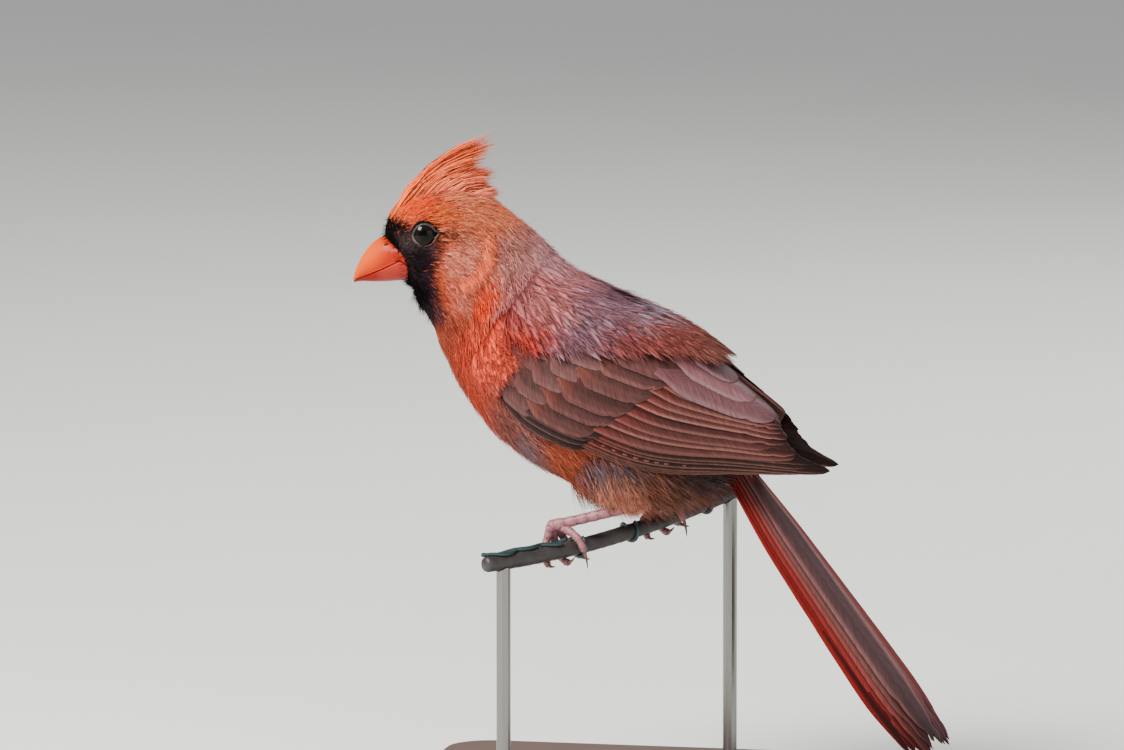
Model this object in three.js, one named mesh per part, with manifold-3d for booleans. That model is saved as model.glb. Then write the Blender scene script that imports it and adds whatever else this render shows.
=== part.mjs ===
// A male northern cardinal, life size, gripping a cut length of dark garden rod on a plain stand.
// Millimetres. The bird looks along -X with its left side towards -Y, and Z is up.
// The origin is the middle of the base's underside.
import * as THREE from "three";
import { mergeVertices } from "three/addons/utils/BufferGeometryUtils.js";
import Module from "manifold-3d";

const wasm = await Module();
wasm.setup();

const DEG = Math.PI / 180;
const GAP = 0.3; // between nodes that touch
const SLIVER = 0.02; // shorter edges are closed up in every node
const FINEST = 0.15; // detail smaller than this is left out of joined vanes
const LEFT = -1;
const RIGHT = 1;
const ORIGIN = new THREE.Vector3();
const UPRIGHT = new THREE.Vector3(0, 0, 1);

// Stand and perch
const BASE_LENGTH = 104;
const BASE_WIDTH = 86;
const BASE_THICK = 7;
const BASE_CORNER = 12;
const BASE_CHAMFER = 1.2;
const ROD_RADIUS = 2.1;
const ROD_HALF_LENGTH = 43;
const ROD_CENTRE = new THREE.Vector3(2, 0, 70.6);
const ROD_HEADING = new THREE.Vector3(0.685, 0.71, 0.17).normalize();
const ROD_BOW = 0.0017; // how much the rod lifts towards its ends, per mm
const POST_RADIUS = 1.9;
const POST_AT = 37; // from the rod's middle, along it

// The head looks to the bird's left by this much, the neck bending between two of the body's sections
const HEAD_TURN = 12 * DEG;
const TURN_AXIS_X = -29;
const TURN_STARTS = 9;
const TURN_ENDS = 5;

// Sections of the feathered body from the bill's base to the tail's root:
// back point x and z, belly point x and z, half width, and how much wider it is below its middle
const BODY = [
  [-60.4, 150.4, -53.6, 138.2, 4.9, 0.0],
  [-58.9, 156.0, -52.0, 135.6, 7.2, 0.02],
  [-55.4, 160.0, -50.6, 132.4, 9.3, 0.04],
  [-49.6, 162.6, -48.8, 129.2, 10.7, 0.06],
  [-42.6, 163.4, -47.0, 125.8, 11.4, 0.08],
  [-35.0, 161.6, -45.6, 122.0, 11.9, 0.1],
  [-27.8, 157.0, -44.2, 118.6, 12.6, 0.12],
  [-21.4, 151.8, -42.6, 114.8, 14.0, 0.12],
  [-15.6, 146.6, -40.4, 110.6, 16.0, 0.1],
  [-9.2, 141.6, -37.2, 105.6, 18.2, 0.06],
  [-1.4, 137.0, -32.4, 99.4, 20.0, 0.02],
  [7.4, 131.4, -25.4, 93.2, 21.0, 0.0],
  [14.4, 125.6, -17.4, 88.4, 21.2, 0.0],
  [20.4, 119.6, -8.0, 84.0, 20.4, 0.02],
  [25.4, 112.8, 2.8, 81.4, 18.6, 0.04],
  [28.8, 106.2, 13.4, 81.6, 15.6, 0.02],
  [31.6, 101.2, 21.4, 83.6, 12.2, 0.0],
  [33.6, 97.4, 27.0, 86.6, 8.4, 0.0],
];
const BODY_POINTS = 20; // round each section
const RINGS_PER_SECTION = 1.5;
const HEAD_END = 5.9; // section where head and neck part
const NECK_END = 9.4; // section where neck and torso part
const PART_GAP = 0.065; // the gap there, in sections

// Sections of the closed bill, tip to base, as above
const BILL = [
  [-68.9, 138.6, -68.7, 137.7, 0.35],
  [-68.0, 141.6, -66.6, 138.0, 1.7],
  [-66.0, 145.4, -63.4, 137.9, 3.2],
  [-63.4, 148.5, -59.4, 138.0, 4.9],
  [-60.6, 150.0, -55.4, 138.3, 6.3],
  [-56.6, 149.6, -49.6, 138.6, 7.7],
];
const BILL_POINTS = 16;
// The line of the mouth, from before the tip to behind the gape
const MOUTH = [
  [-74, 135.0],
  [-68.6, 138.3],
  [-61.3, 141.6],
  [-56.4, 144.3],
  [-52.6, 141.6],
  [-46, 139.4],
];
const NOSTRIL = new THREE.Vector3(-59.9, 3.9, 148.2);
const NOSTRIL_RADIUS = 0.6;

// Eyes, from the middle of the head
const EYE = new THREE.Vector3(-49.8, 6.8, 151.5);
const EYE_RADIUS = 4.1;
const LID_RADIUS = 3.35;
const LID_THICK = 0.6;

// Crest feathers, front to back: where their roots lie on the crown, and where their tips reach
const CREST_ROOTS = [
  [-58.0, 157.0],
  [-55.0, 160.0],
  [-51.5, 161.6],
  [-48.0, 162.4],
  [-44.0, 162.8],
  [-40.0, 162.4],
  [-36.0, 161.2],
];
const CREST_TIPS = [
  [-45.0, 170.4],
  [-33.4, 176.6],
  [-31.0, 174.6],
  [-32.4, 170.6],
  [-31.2, 167.6],
  [-31.6, 164.6],
  [-28.4, 161.0],
];
const CREST_ROWS = 8;
const CREST_SPREAD = 2.2; // sideways step between the locks of a row
const CREST_TILT = 48 * DEG; // how much further each step sideways a lock faces
const CREST_WIDTH = 3.8;
const CREST_THICK = 0.8;
const CREST_BLADE = [[-0.08, 0.7], [0.3, 1], [0.7, 0.75], [1, 0.12]];
// The wedge under the locks: how far up the crest, and its half thickness
const CORE_LEVELS = [[-0.3, 4.4], [0.12, 3.0], [0.42, 1.8], [0.72, 0.5]];
const CREST_BOW = 0.13; // how far a lock bows upwards, as a share of its length

// The folded wings lie on a carrier that wraps the body and runs on past it:
// back point x and z, belly point x and z, half width
const CARRIER = [
  [-16.0, 146.6, -40.8, 110.4, 17.0],
  [-9.5, 142.0, -37.6, 106.0, 19.6],
  [-1.4, 137.6, -32.7, 99.6, 22.0],
  [8.2, 133.0, -25.6, 93.2, 23.4],
  [16.4, 128.6, -17.7, 88.4, 23.8],
  [24.5, 123.2, -8.2, 84.0, 23.0],
  [31.0, 118.0, 2.7, 80.0, 20.8],
  [37.0, 113.2, 13.0, 79.0, 17.8],
  [43.0, 108.6, 24.0, 80.0, 14.6],
  [50.0, 103.0, 36.0, 82.0, 11.4],
  [57.0, 97.4, 49.0, 84.0, 8.4],
  [64.0, 92.0, 60.0, 86.4, 5.6],
];
// The wing's plate on the carrier: station, its upper and lower edge in degrees from the back, depth inwards
const WING_PLATE = [
  [1.15, 84, 104, 1.2],
  [1.6, 72, 116, 3.6],
  [2.2, 62, 121, 4.4],
  [3, 46, 122, 4.8],
  [4, 28, 117, 5.0],
  [5, 14, 106, 4.6],
  [6, 8, 100, 3.6],
  [7, 8, 96, 2.4],
  [8, 12, 90, 1.6],
  [8.6, 20, 84, 0.9],
];
const PLATE_RINGS = 12;
const PLATE_SUNK = 0.5; // how far the plate lies under the carrier, where the vanes are

const VANE_THICK = 0.8;
// A vane's outline: how far along it, and how wide it is there
const FLIGHT_BLADE = [[0, 0.4], [0.35, 0.95], [0.75, 0.95], [0.93, 0.6], [1, 0.14]];
const COVERT_BLADE = [[0, 0.6], [0.5, 1], [0.86, 0.8], [1, 0.25]];
const TAIL_BLADE = [[0, 0.34], [0.2, 0.68], [0.5, 0.9], [0.8, 1], [0.93, 0.86], [1, 0.3]];
const SHINGLE = 0.45; // how far a vane's lower edge stands above the one below it

// Tiers of feathers on the wing, lowest layer first. Root and tip are carrier station and degrees,
// at the tier's first and last feather. Width and thickness in mm.
const TIERS = [
  {
    name: "primaries",
    count: 7,
    root: [[2.7, 117], [3.6, 101]],
    tip: [[9.9, 92], [9.5, 66]],
    peak: 0.9,
    width: 7.2,
    lift: 0.1,
    blade: FLIGHT_BLADE,
  },
  {
    name: "secondaries",
    count: 6,
    root: [[3.2, 101], [4.4, 58]],
    tip: [[9.1, 66], [8.5, 33]],
    peak: 0,
    width: 8.6,
    lift: 0.5,
    blade: FLIGHT_BLADE,
  },
  {
    name: "tertials",
    count: 3,
    root: [[4.5, 50], [4.9, 22]],
    tip: [[8.6, 30], [6.8, 15]],
    peak: 0,
    width: 10.5,
    lift: 1.0,
    blade: COVERT_BLADE,
  },
  {
    name: "primary_coverts",
    count: 4,
    root: [[1.9, 117], [2.2, 104]],
    tip: [[4.5, 115], [4.7, 101]],
    peak: 0,
    width: 6.4,
    lift: 0.9,
    blade: COVERT_BLADE,
  },
  {
    name: "greater_coverts",
    count: 7,
    root: [[2.3, 103], [3.3, 50]],
    tip: [[4.6, 98], [5.4, 42]],
    peak: 0,
    width: 9.4,
    lift: 1.3,
    blade: COVERT_BLADE,
  },
  {
    name: "median_coverts",
    count: 6,
    root: [[1.6, 107], [2.6, 54]],
    tip: [[3.0, 108], [3.9, 50]],
    peak: 0,
    width: 8.4,
    lift: 1.7,
    blade: COVERT_BLADE,
  },
  {
    name: "lesser_coverts",
    count: 5,
    root: [[1.2, 101], [1.9, 66]],
    tip: [[2.2, 107], [2.8, 62]],
    peak: 0,
    width: 7.0,
    lift: 2.0,
    blade: COVERT_BLADE,
  },
];

// Tail
const TAIL_ROOT = new THREE.Vector3(31.5, 0, 96.8);
const TAIL_LENGTH = 100;
const TAIL_SHORTER = [3, 0.5, 0, 1.5, 3, 5]; // from the middle pair outwards, mm
const TAIL_SLOPE = 54 * DEG;
const TAIL_ROLL = 16 * DEG; // its left edge hangs lower than its right one
const TAIL_PAIRS = 6;
const TAIL_FEATHER_WIDTH = 10.4;
const TAIL_ROOT_STEP = 0.9; // sideways, from one feather's root to the next
const TAIL_FAN = 0.72 * DEG; // from one feather to the next
const TAIL_DROP = 0.42; // each pair lies this much lower
const TAIL_ROOF = 7 * DEG; // each feather's tilt to its side

// Legs: ankle, and the joint where the toes meet
const LEGS = {
  left: {
    side: LEFT,
    hip: new THREE.Vector3(3, -9.5, 91),
    ankle: new THREE.Vector3(10.2, -10.5, 80.6),
    toes: new THREE.Vector3(-13.4, -9.8, 74.2),
  },
  right: {
    side: RIGHT,
    hip: new THREE.Vector3(6, 9.5, 90),
    ankle: new THREE.Vector3(1.5, 15.0, 92.0),
    toes: new THREE.Vector3(10.6, 12.0, 77.4),
  },
};
const TARSUS_RADIUS = 1.25;
const TARSUS_SCUTES = 7;
const TOE_RADIUS = 1.1;
const TOE_SEGMENT_BULGE = 0.12;
const CLAW_GAP = 0.65;

// Joins two manifolds' worth of triangles into one closed three.js geometry made of rings of points.
// Neighbouring quads are split along mirrored diagonals, so that both faces of a thin vane match.
function loft(rings) {
  const count = rings[0].length;
  const positions = [];
  const index = [];
  const push = (p) => positions.push(p.x, p.y, p.z) / 3 - 1;
  const rows = rings.map((ring) => ring.map(push));
  const middle = (ring) =>
    ring.reduce((sum, p) => sum.add(p), new THREE.Vector3()).divideScalar(count);
  for (let i = 0; i + 1 < rows.length; i++) {
    for (let j = 0; j < count; j++) {
      const k = (j + 1) % count;
      const [a, b, c, d] = [rows[i][j], rows[i][k], rows[i + 1][k], rows[i + 1][j]];
      if (j % 2 === 0) index.push(a, b, c, a, c, d);
      else index.push(a, b, d, b, c, d);
    }
  }
  const first = push(middle(rings[0]));
  const last = push(middle(rings[rings.length - 1]));
  for (let j = 0; j < count; j++) {
    const k = (j + 1) % count;
    index.push(first, rows[0][k], rows[0][j]);
    index.push(last, rows[rows.length - 1][j], rows[rows.length - 1][k]);
  }
  const geometry = new THREE.BufferGeometry();
  geometry.setAttribute("position", new THREE.Float32BufferAttribute(positions, 3));
  geometry.setIndex(index);
  return geometry;
}

// A closed three.js geometry as a solid. One whose faces point inwards is turned round.
function solid(geometry) {
  geometry.deleteAttribute("normal");
  geometry.deleteAttribute("uv");
  const merged = mergeVertices(geometry, 1e-4);
  const triVerts = new Uint32Array(merged.index.array);
  const vertProperties = merged.attributes.position.array;
  const make = () => new wasm.Manifold(new wasm.Mesh({ numProp: 3, vertProperties, triVerts }));
  const made = make();
  if (made.volume() > 0) return made;
  for (let i = 0; i < triVerts.length; i += 3) {
    [triVerts[i + 1], triVerts[i + 2]] = [triVerts[i + 2], triVerts[i + 1]];
  }
  return make();
}

const join = (solids) => wasm.Manifold.union(solids);

// The solid's largest closed body, with no sliver left in it, as a three.js geometry
function geometryOf(made) {
  const bodies = made.asOriginal().simplify(SLIVER).decompose().sort((a, b) => b.volume() - a.volume());
  const mesh = bodies[0].getMesh();
  const positions = new Float32Array(mesh.numVert * 3);
  for (let i = 0; i < mesh.numVert; i++) {
    const at = i * mesh.numProp;
    positions.set(mesh.vertProperties.subarray(at, at + 3), i * 3);
  }
  const geometry = new THREE.BufferGeometry();
  geometry.setAttribute("position", new THREE.BufferAttribute(positions, 3));
  geometry.setIndex(new THREE.BufferAttribute(new Uint32Array(mesh.triVerts), 1));
  partTouching(geometry);
  return geometry;
}

// Where two corners of the surface meet in one point, moves each of them a little inwards
function partTouching(geometry) {
  const position = geometry.attributes.position;
  geometry.computeVertexNormals();
  const normal = geometry.attributes.normal;
  const point = new THREE.Vector3();
  const places = new Map();
  for (let i = 0; i < position.count; i++) {
    const key = point.fromBufferAttribute(position, i).multiplyScalar(200).round().toArray().join();
    places.set(key, [...(places.get(key) ?? []), i]);
  }
  for (const corners of places.values()) {
    if (corners.length === 1) continue;
    for (const i of corners) {
      const inwards = new THREE.Vector3().fromBufferAttribute(normal, i).multiplyScalar(-SLIVER / 2);
      const { x, y, z } = point.fromBufferAttribute(position, i).add(inwards);
      position.setXYZ(i, x, y, z);
    }
  }
  geometry.deleteAttribute("normal");
}

// A smooth value between the rows of a table. at counts rows from 0.
function between(rows, at) {
  const last = rows.length - 1;
  const i = Math.min(Math.floor(at), last - 1);
  const t = at - i;
  const row = (k) => rows[Math.max(0, Math.min(last, k))];
  return rows[0].map((_, n) => {
    const [p, a, b, q] = [row(i - 1)[n], row(i)[n], row(i + 1)[n], row(i + 2)[n]];
    const [m0, m1] = [(b - p) / 2, (q - a) / 2];
    const [t2, t3] = [t * t, t * t * t];
    return (
      (2 * t3 - 3 * t2 + 1) * a + (t3 - 2 * t2 + t) * m0 + (3 * t2 - 2 * t3) * b + (t3 - t2) * m1
    );
  });
}

const smooth = (t) => {
  const x = Math.max(0, Math.min(1, t));
  return x * x * (3 - 2 * x);
};

// Turns a point of the head, or at a share a point of the neck, to the bird's left
function turned(point, share = 1) {
  const angle = HEAD_TURN * share;
  const x = point.x - TURN_AXIS_X;
  return new THREE.Vector3(
    TURN_AXIS_X + x * Math.cos(angle) - point.y * Math.sin(angle),
    x * Math.sin(angle) + point.y * Math.cos(angle),
    point.z,
  );
}

// One section as a ring of points, grown outwards by some mm
function sectionRing(row, points, grow = 0) {
  const [topX, topZ, lowX, lowZ, halfWidth, lowWider = 0] = row;
  const up = new THREE.Vector3(topX - lowX, 0, topZ - lowZ).divideScalar(2);
  const centre = new THREE.Vector3(topX + lowX, 0, topZ + lowZ).divideScalar(2);
  const tall = up.length() + grow;
  up.setLength(tall);
  return Array.from({ length: points }, (_, j) => {
    const angle = (2 * Math.PI * j) / points;
    const wide = (halfWidth + grow) * Math.sin(angle) * (1 - lowWider * Math.cos(angle));
    return centre.clone().addScaledVector(up, Math.cos(angle)).add(new THREE.Vector3(0, wide, 0));
  });
}

function bodyRing(at, grow = 0) {
  const share = smooth((TURN_STARTS - at) / (TURN_STARTS - TURN_ENDS));
  return sectionRing(between(BODY, at), BODY_POINTS, grow).map((p) => turned(p, share));
}

function bodyLength(from, to, grow = 0) {
  const steps = Math.max(2, Math.round((to - from) * RINGS_PER_SECTION));
  const rings = Array.from({ length: steps + 1 }, (_, i) =>
    bodyRing(from + ((to - from) * i) / steps, grow),
  );
  return solid(loft(rings));
}

// The same path with both its ends drawn out
function drawnOut(path, by) {
  const last = path.length - 1;
  const beyond = (end, next) => end.clone().add(end.clone().sub(next).setLength(by));
  return [beyond(path[0], path[1]), ...path.slice(1, last), beyond(path[last], path[last - 1])];
}

function tube(path, radii, points = 8) {
  const rings = path.map((p, i) => {
    const ahead = path[Math.min(i + 1, path.length - 1)];
    const behind = path[Math.max(i - 1, 0)];
    const along = ahead.clone().sub(behind).normalize();
    const side = new THREE.Vector3(0, 0, 1).cross(along);
    if (side.length() < 0.2) side.set(0, 1, 0);
    side.normalize();
    const up = along.clone().cross(side);
    return Array.from({ length: points }, (_, j) => {
      const angle = (2 * Math.PI * j) / points;
      return p
        .clone()
        .addScaledVector(side, radii[i] * Math.cos(angle))
        .addScaledVector(up, radii[i] * Math.sin(angle));
    });
  });
  return solid(loft(rings));
}

// A feather's vane: rings of four points, edge, upper face, edge, lower face.
// Each frame holds its place, its way across and out of the face, and its half width.
function vane(frames, thick, bend) {
  const widest = Math.max(...frames.map((frame) => frame.half));
  const rings = frames.map(({ at, across, out, half }) => {
    const edge = (sign) =>
      at.clone().addScaledVector(across, sign * half).addScaledVector(out, -bend * half * half);
    const face = (sign) =>
      at.clone().addScaledVector(out, (sign * thick * (0.4 + (0.6 * half) / widest)) / 2);
    return [edge(1), face(1), edge(-1), face(-1)];
  });
  return solid(loft(rings));
}

function carrierPoint(station, degrees, side, offset = 0) {
  const last = CARRIER.length - 1;
  const at = Math.min(station, last);
  const over = station - at;
  const [topX, topZ, lowX, lowZ, halfWidth] = between(CARRIER, at).map(
    (value, n) => value + over * (CARRIER[last][n] - CARRIER[last - 1][n]),
  );
  const angle = degrees * DEG;
  const up = new THREE.Vector3(topX - lowX, 0, topZ - lowZ).divideScalar(2);
  const tall = up.length() + offset;
  up.setLength(tall);
  return new THREE.Vector3(topX + lowX, 0, topZ + lowZ)
    .divideScalar(2)
    .addScaledVector(up, Math.cos(angle))
    .add(new THREE.Vector3(0, side * (halfWidth + offset) * Math.sin(angle), 0));
}

const mix = (a, b, t) => a.map((value, n) => value + (b[n] - value) * t);

// One vane laid on the carrier from root to tip. Its lower edge stands above the vane under it.
function wingVane(root, tip, tier, side) {
  const rings = tier.blade.map(([t, share], i) => {
    const [station, degrees] = mix(root, tip, t);
    const half = (share * tier.width) / 2;
    const around = carrierPoint(station, degrees + 1, side);
    const perDegree = around.distanceTo(carrierPoint(station, degrees - 1, side)) / 2;
    const spread = half / perDegree;
    const height = tier.lift * (1 - 0.5 * t) - (i === 0 ? 0.6 : 0);
    const thick = VANE_THICK * (0.4 + 0.6 * share);
    const spot = (turn, offset) => carrierPoint(station, degrees + turn, side, height + offset);
    return [
      spot(spread, SHINGLE * share),
      spot(0, thick / 2),
      spot(-spread, -SHINGLE * share),
      spot(0, -thick / 2),
    ];
  });
  return solid(loft(rings));
}

function tierVanes(tier, side) {
  return Array.from({ length: tier.count }, (_, i) => {
    const t = i / (tier.count - 1);
    const tip = mix(tier.tip[0], tier.tip[1], t);
    tip[0] += tier.peak * Math.sin(Math.PI * t);
    return wingVane(mix(tier.root[0], tier.root[1], t), tip, tier, side);
  });
}

function wingPlate(side) {
  const columns = 6;
  const rings = Array.from({ length: PLATE_RINGS }, (_, i) => {
    const at = (i * (WING_PLATE.length - 1)) / (PLATE_RINGS - 1);
    const [station, upper, lower, depth] = between(WING_PLATE, at);
    const spots = Array.from({ length: columns }, (_, j) => upper + ((lower - upper) * j) / (columns - 1));
    const outer = spots.map((degrees) => carrierPoint(station, degrees, side, -PLATE_SUNK));
    const inner = spots.map((degrees) => carrierPoint(station, degrees, side, -PLATE_SUNK - depth)).reverse();
    return [...outer, ...inner];
  });
  return solid(loft(rings));
}

function wing(side, clearOf) {
  const vanes = TIERS.flatMap((tier) => tierVanes(tier, side));
  const whole = join([wingPlate(side), ...vanes]).asOriginal().simplify(FINEST);
  const ownHalf = whole.trimByPlane([0, side, 0], GAP / 2);
  return clearOf.reduce((left, other) => left.subtract(other), ownHalf);
}

// Tail feathers, the middle pair on top, each pair below it lower and further out
function tail(grow = 0) {
  const along = new THREE.Vector3(Math.cos(TAIL_SLOPE), 0, -Math.sin(TAIL_SLOPE));
  const back = new THREE.Vector3(-along.z, 0, along.x);
  const leftwards = new THREE.Vector3(0, -1, 0);
  const across = back.clone().multiplyScalar(Math.sin(TAIL_ROLL));
  across.addScaledVector(leftwards, -Math.cos(TAIL_ROLL));
  const out = back.clone().multiplyScalar(Math.cos(TAIL_ROLL));
  out.addScaledVector(leftwards, Math.sin(TAIL_ROLL));
  const vanes = [];
  for (let pair = 0; pair < TAIL_PAIRS; pair++) {
    for (const side of [LEFT, RIGHT]) {
      const order = side * (pair + 0.5);
      const heading = along.clone().addScaledVector(across, Math.tan(order * TAIL_FAN)).normalize();
      const roof = TAIL_ROOF * Math.min(1, Math.abs(order) / 3) * side;
      const faceAcross = across.clone().multiplyScalar(Math.cos(roof)).addScaledVector(out, -Math.sin(roof));
      const faceOut = out.clone().multiplyScalar(Math.cos(roof)).addScaledVector(across, Math.sin(roof));
      const start = TAIL_ROOT.clone().addScaledVector(across, order * TAIL_ROOT_STEP);
      start.addScaledVector(out, -pair * TAIL_DROP);
      const length = TAIL_LENGTH - TAIL_SHORTER[pair] * (side === LEFT ? 1 : 0.6);
      const frames = TAIL_BLADE.map(([t, share]) => ({
        at: start.clone().addScaledVector(heading, t === 0 ? -2 * grow : length * t),
        across: faceAcross,
        out: faceOut,
        half: (share * TAIL_FEATHER_WIDTH) / 2 + grow,
      }));
      vanes.push(vane(frames, VANE_THICK + grow * 2, 0.006));
    }
  }
  return join(vanes).asOriginal().simplify(FINEST);
}

// A place on the crest: t from its front edge to its rear one, s from the crown to the tips
function crestPoint(t, s, shift, reach = 1) {
  const [rootX, rootZ] = between(CREST_ROOTS, t * (CREST_ROOTS.length - 1));
  const [tipX, tipZ] = between(CREST_TIPS, t * (CREST_TIPS.length - 1));
  const [spanX, spanZ] = [(tipX - rootX) * reach, (tipZ - rootZ) * reach];
  const bow = CREST_BOW * Math.sin(Math.PI * Math.max(0, s)) * (1 - 0.3 * s);
  const x = rootX + spanX * s - spanZ * bow;
  const z = rootZ + spanZ * s + spanX * bow;
  return turned(new THREE.Vector3(x, shift * (1 - 0.45 * s), z));
}

// One crest feather. place counts steps sideways from the middle, and outer ones face further sideways.
function crestLock(t, place, reach) {
  const shift = place * CREST_SPREAD;
  const at = CREST_BLADE.map(([s]) => crestPoint(t, s, shift, reach));
  const frames = CREST_BLADE.map(([, share], k) => {
    const ahead = at[Math.min(k + 1, at.length - 1)];
    const along = ahead.clone().sub(at[Math.max(k - 1, 0)]).normalize();
    const level = along.clone().cross(turned(UPRIGHT).sub(turned(ORIGIN))).normalize();
    const tilt = -place * CREST_TILT;
    const across = level.clone().applyAxisAngle(along, tilt);
    return { at: at[k], across, out: along.clone().cross(across), half: (share * CREST_WIDTH) / 2 };
  });
  return vane(frames, CREST_THICK, 0.02);
}

// The close-lying feathers in the middle of the crest, as one wedge under the locks
function crestCore() {
  const columns = 7;
  const rings = CORE_LEVELS.map(([s, half]) => {
    const spots = Array.from({ length: columns }, (_, i) => 0.04 + (0.92 * i) / (columns - 1));
    const thin = (t) => half * Math.sqrt(Math.max(0.05, Math.sin(Math.PI * t)));
    const near = spots.map((t) => crestPoint(t, s, -thin(t)));
    const far = spots.map((t) => crestPoint(t, s, thin(t))).reverse();
    return [...near, ...far];
  });
  return solid(loft(rings));
}

function crest() {
  const locks = [crestCore()];
  for (let row = 0; row < CREST_ROWS; row++) {
    const t = row / (CREST_ROWS - 1);
    const places = row % 2 === 0 ? [-1.2, -0.4, 0.4, 1.2] : [-0.8, 0.8];
    for (const place of places) {
      const reach = 1.02 - 0.1 * Math.abs(place) - 0.06 * ((row * 3 + places.indexOf(place) * 2) % 3);
      locks.push(crestLock(t, place, reach));
    }
  }
  return locks;
}

function billSolid(grow = 0) {
  const steps = 9;
  const rings = Array.from({ length: steps + 1 }, (_, i) =>
    sectionRing(between(BILL, (i * (BILL.length - 1)) / steps), BILL_POINTS, grow),
  );
  const deeper = new THREE.Vector3(2 * grow, 0, 0);
  rings.push(rings.pop().map((p) => p.add(deeper)));
  return solid(loft(rings.map((ring) => ring.map((p) => turned(p)))));
}

// Everything below the line of the mouth, dropped by some mm, as one deep block
function belowMouth(drop) {
  const reach = 14;
  const shape = new THREE.Shape(MOUTH.map(([x, z]) => new THREE.Vector2(x, z - drop)));
  const [first, last] = [MOUTH[0], MOUTH[MOUTH.length - 1]];
  shape.lineTo(last[0], 120);
  shape.lineTo(first[0], 120);
  const block = new THREE.ExtrudeGeometry(shape, { depth: 2 * reach, bevelEnabled: false });
  block.rotateX(Math.PI / 2);
  block.translate(0, reach, 0);
  const position = block.attributes.position;
  for (let i = 0; i < position.count; i++) {
    const p = turned(new THREE.Vector3().fromBufferAttribute(position, i));
    position.setXYZ(i, p.x, p.y, p.z);
  }
  return solid(block);
}

const mirrored = (point, side) => new THREE.Vector3(point.x, side * Math.abs(point.y), point.z);

function ball(centre, radius, wide = 18, high = 10) {
  const sphere = new THREE.SphereGeometry(radius, wide, high);
  sphere.translate(centre.x, centre.y, centre.z);
  return solid(sphere);
}

function lid(side) {
  const ring = new THREE.TorusGeometry(LID_RADIUS, LID_THICK, 5, 16);
  const outwards = Math.sqrt(EYE_RADIUS ** 2 - LID_RADIUS ** 2);
  ring.rotateX(Math.PI / 2);
  ring.scale(1.12, 1, 0.98);
  ring.rotateZ(side * 6 * DEG);
  ring.translate(EYE.x, side * (EYE.y + outwards + 0.1), EYE.z);
  const position = ring.attributes.position;
  for (let i = 0; i < position.count; i++) {
    const p = turned(new THREE.Vector3().fromBufferAttribute(position, i));
    position.setXYZ(i, p.x, p.y, p.z);
  }
  return solid(ring);
}

function rodPoint(along) {
  return ROD_CENTRE.clone()
    .addScaledVector(ROD_HEADING, along)
    .add(new THREE.Vector3(0, 0, ROD_BOW * along * along));
}

function rodSolid(grow = 0, sides = 14) {
  const steps = 9;
  const reach = ROD_HALF_LENGTH + grow;
  const path = Array.from({ length: steps + 1 }, (_, i) => rodPoint(-reach + (2 * reach * i) / steps));
  return tube(path, path.map(() => ROD_RADIUS + grow), sides);
}

// The toes wrap the rod. Each is a list of distance from the rod's middle and degrees round it,
// 0 straight up and 90 towards the front toes' side, with its step along the rod.
const FRONT = new THREE.Vector3(-ROD_HEADING.y, ROD_HEADING.x, 0).normalize();
const ABOVE = ROD_HEADING.clone().cross(FRONT).negate();
if (ABOVE.z < 0) ABOVE.negate();
const TOE_PLANS = {
  inner: { along: 2.6, spread: 2.8, wrap: [[4.6, 82], [3.75, 118], [3.5, 156]], claw: [[3.6, 190], [4.3, 216]] },
  middle: { along: 0, spread: 0, wrap: [[4.8, 80], [3.8, 116], [3.5, 160], [3.5, 192]], claw: [[3.6, 224], [4.4, 250]] },
  outer: { along: -2.6, spread: -3.0, wrap: [[4.6, 84], [3.75, 120], [3.5, 164]], claw: [[3.6, 198], [4.3, 224]] },
  hind: { along: 1.6, spread: 1.6, wrap: [[4.9, 8], [4.1, -30], [3.9, -66], [4.0, -98]], claw: [[5.0, -122], [6.8, -142]] },
};

function aroundRod(along, distance, degrees) {
  return rodPoint(along)
    .addScaledVector(ABOVE, distance * Math.cos(degrees * DEG))
    .addScaledVector(FRONT, distance * Math.sin(degrees * DEG));
}

function alongRod(point) {
  return point.clone().sub(ROD_CENTRE).dot(ROD_HEADING);
}

function toeParts(leg, plan) {
  const centre = alongRod(leg.toes);
  const root = leg.toes.clone().addScaledVector(ROD_HEADING, plan.along * 0.3);
  const count = plan.wrap.length;
  const wrap = plan.wrap.map(([distance, degrees], i) =>
    aroundRod(centre + plan.along + (plan.spread * (i + 1)) / count, distance, degrees),
  );
  const curve = new THREE.CatmullRomCurve3([root, ...wrap]);
  const steps = 2 * count + 1;
  const path = curve.getPoints(steps);
  const radii = path.map((_, i) => {
    const taper = 1 - 0.28 * (i / steps);
    const bulge = 1 + TOE_SEGMENT_BULGE * (i % 2 === 0 ? 1 : -1);
    return TOE_RADIUS * taper * bulge;
  });
  const toe = tube(path, radii, 7);
  const claws = plan.claw.map(([distance, degrees]) =>
    aroundRod(centre + plan.along + plan.spread * 1.1, distance, degrees),
  );
  const end = wrap[count - 1];
  const away = path[steps].clone().sub(path[steps - 1]).normalize();
  const start = end.clone().addScaledVector(away, CLAW_GAP);
  const clawPath = new THREE.CatmullRomCurve3([start, ...claws]).getPoints(4);
  const clawRadii = clawPath.map((_, i) => 0.62 * (1 - 0.86 * (i / 4)));
  return { toe, claw: tube(clawPath, clawRadii, 6) };
}

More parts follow.
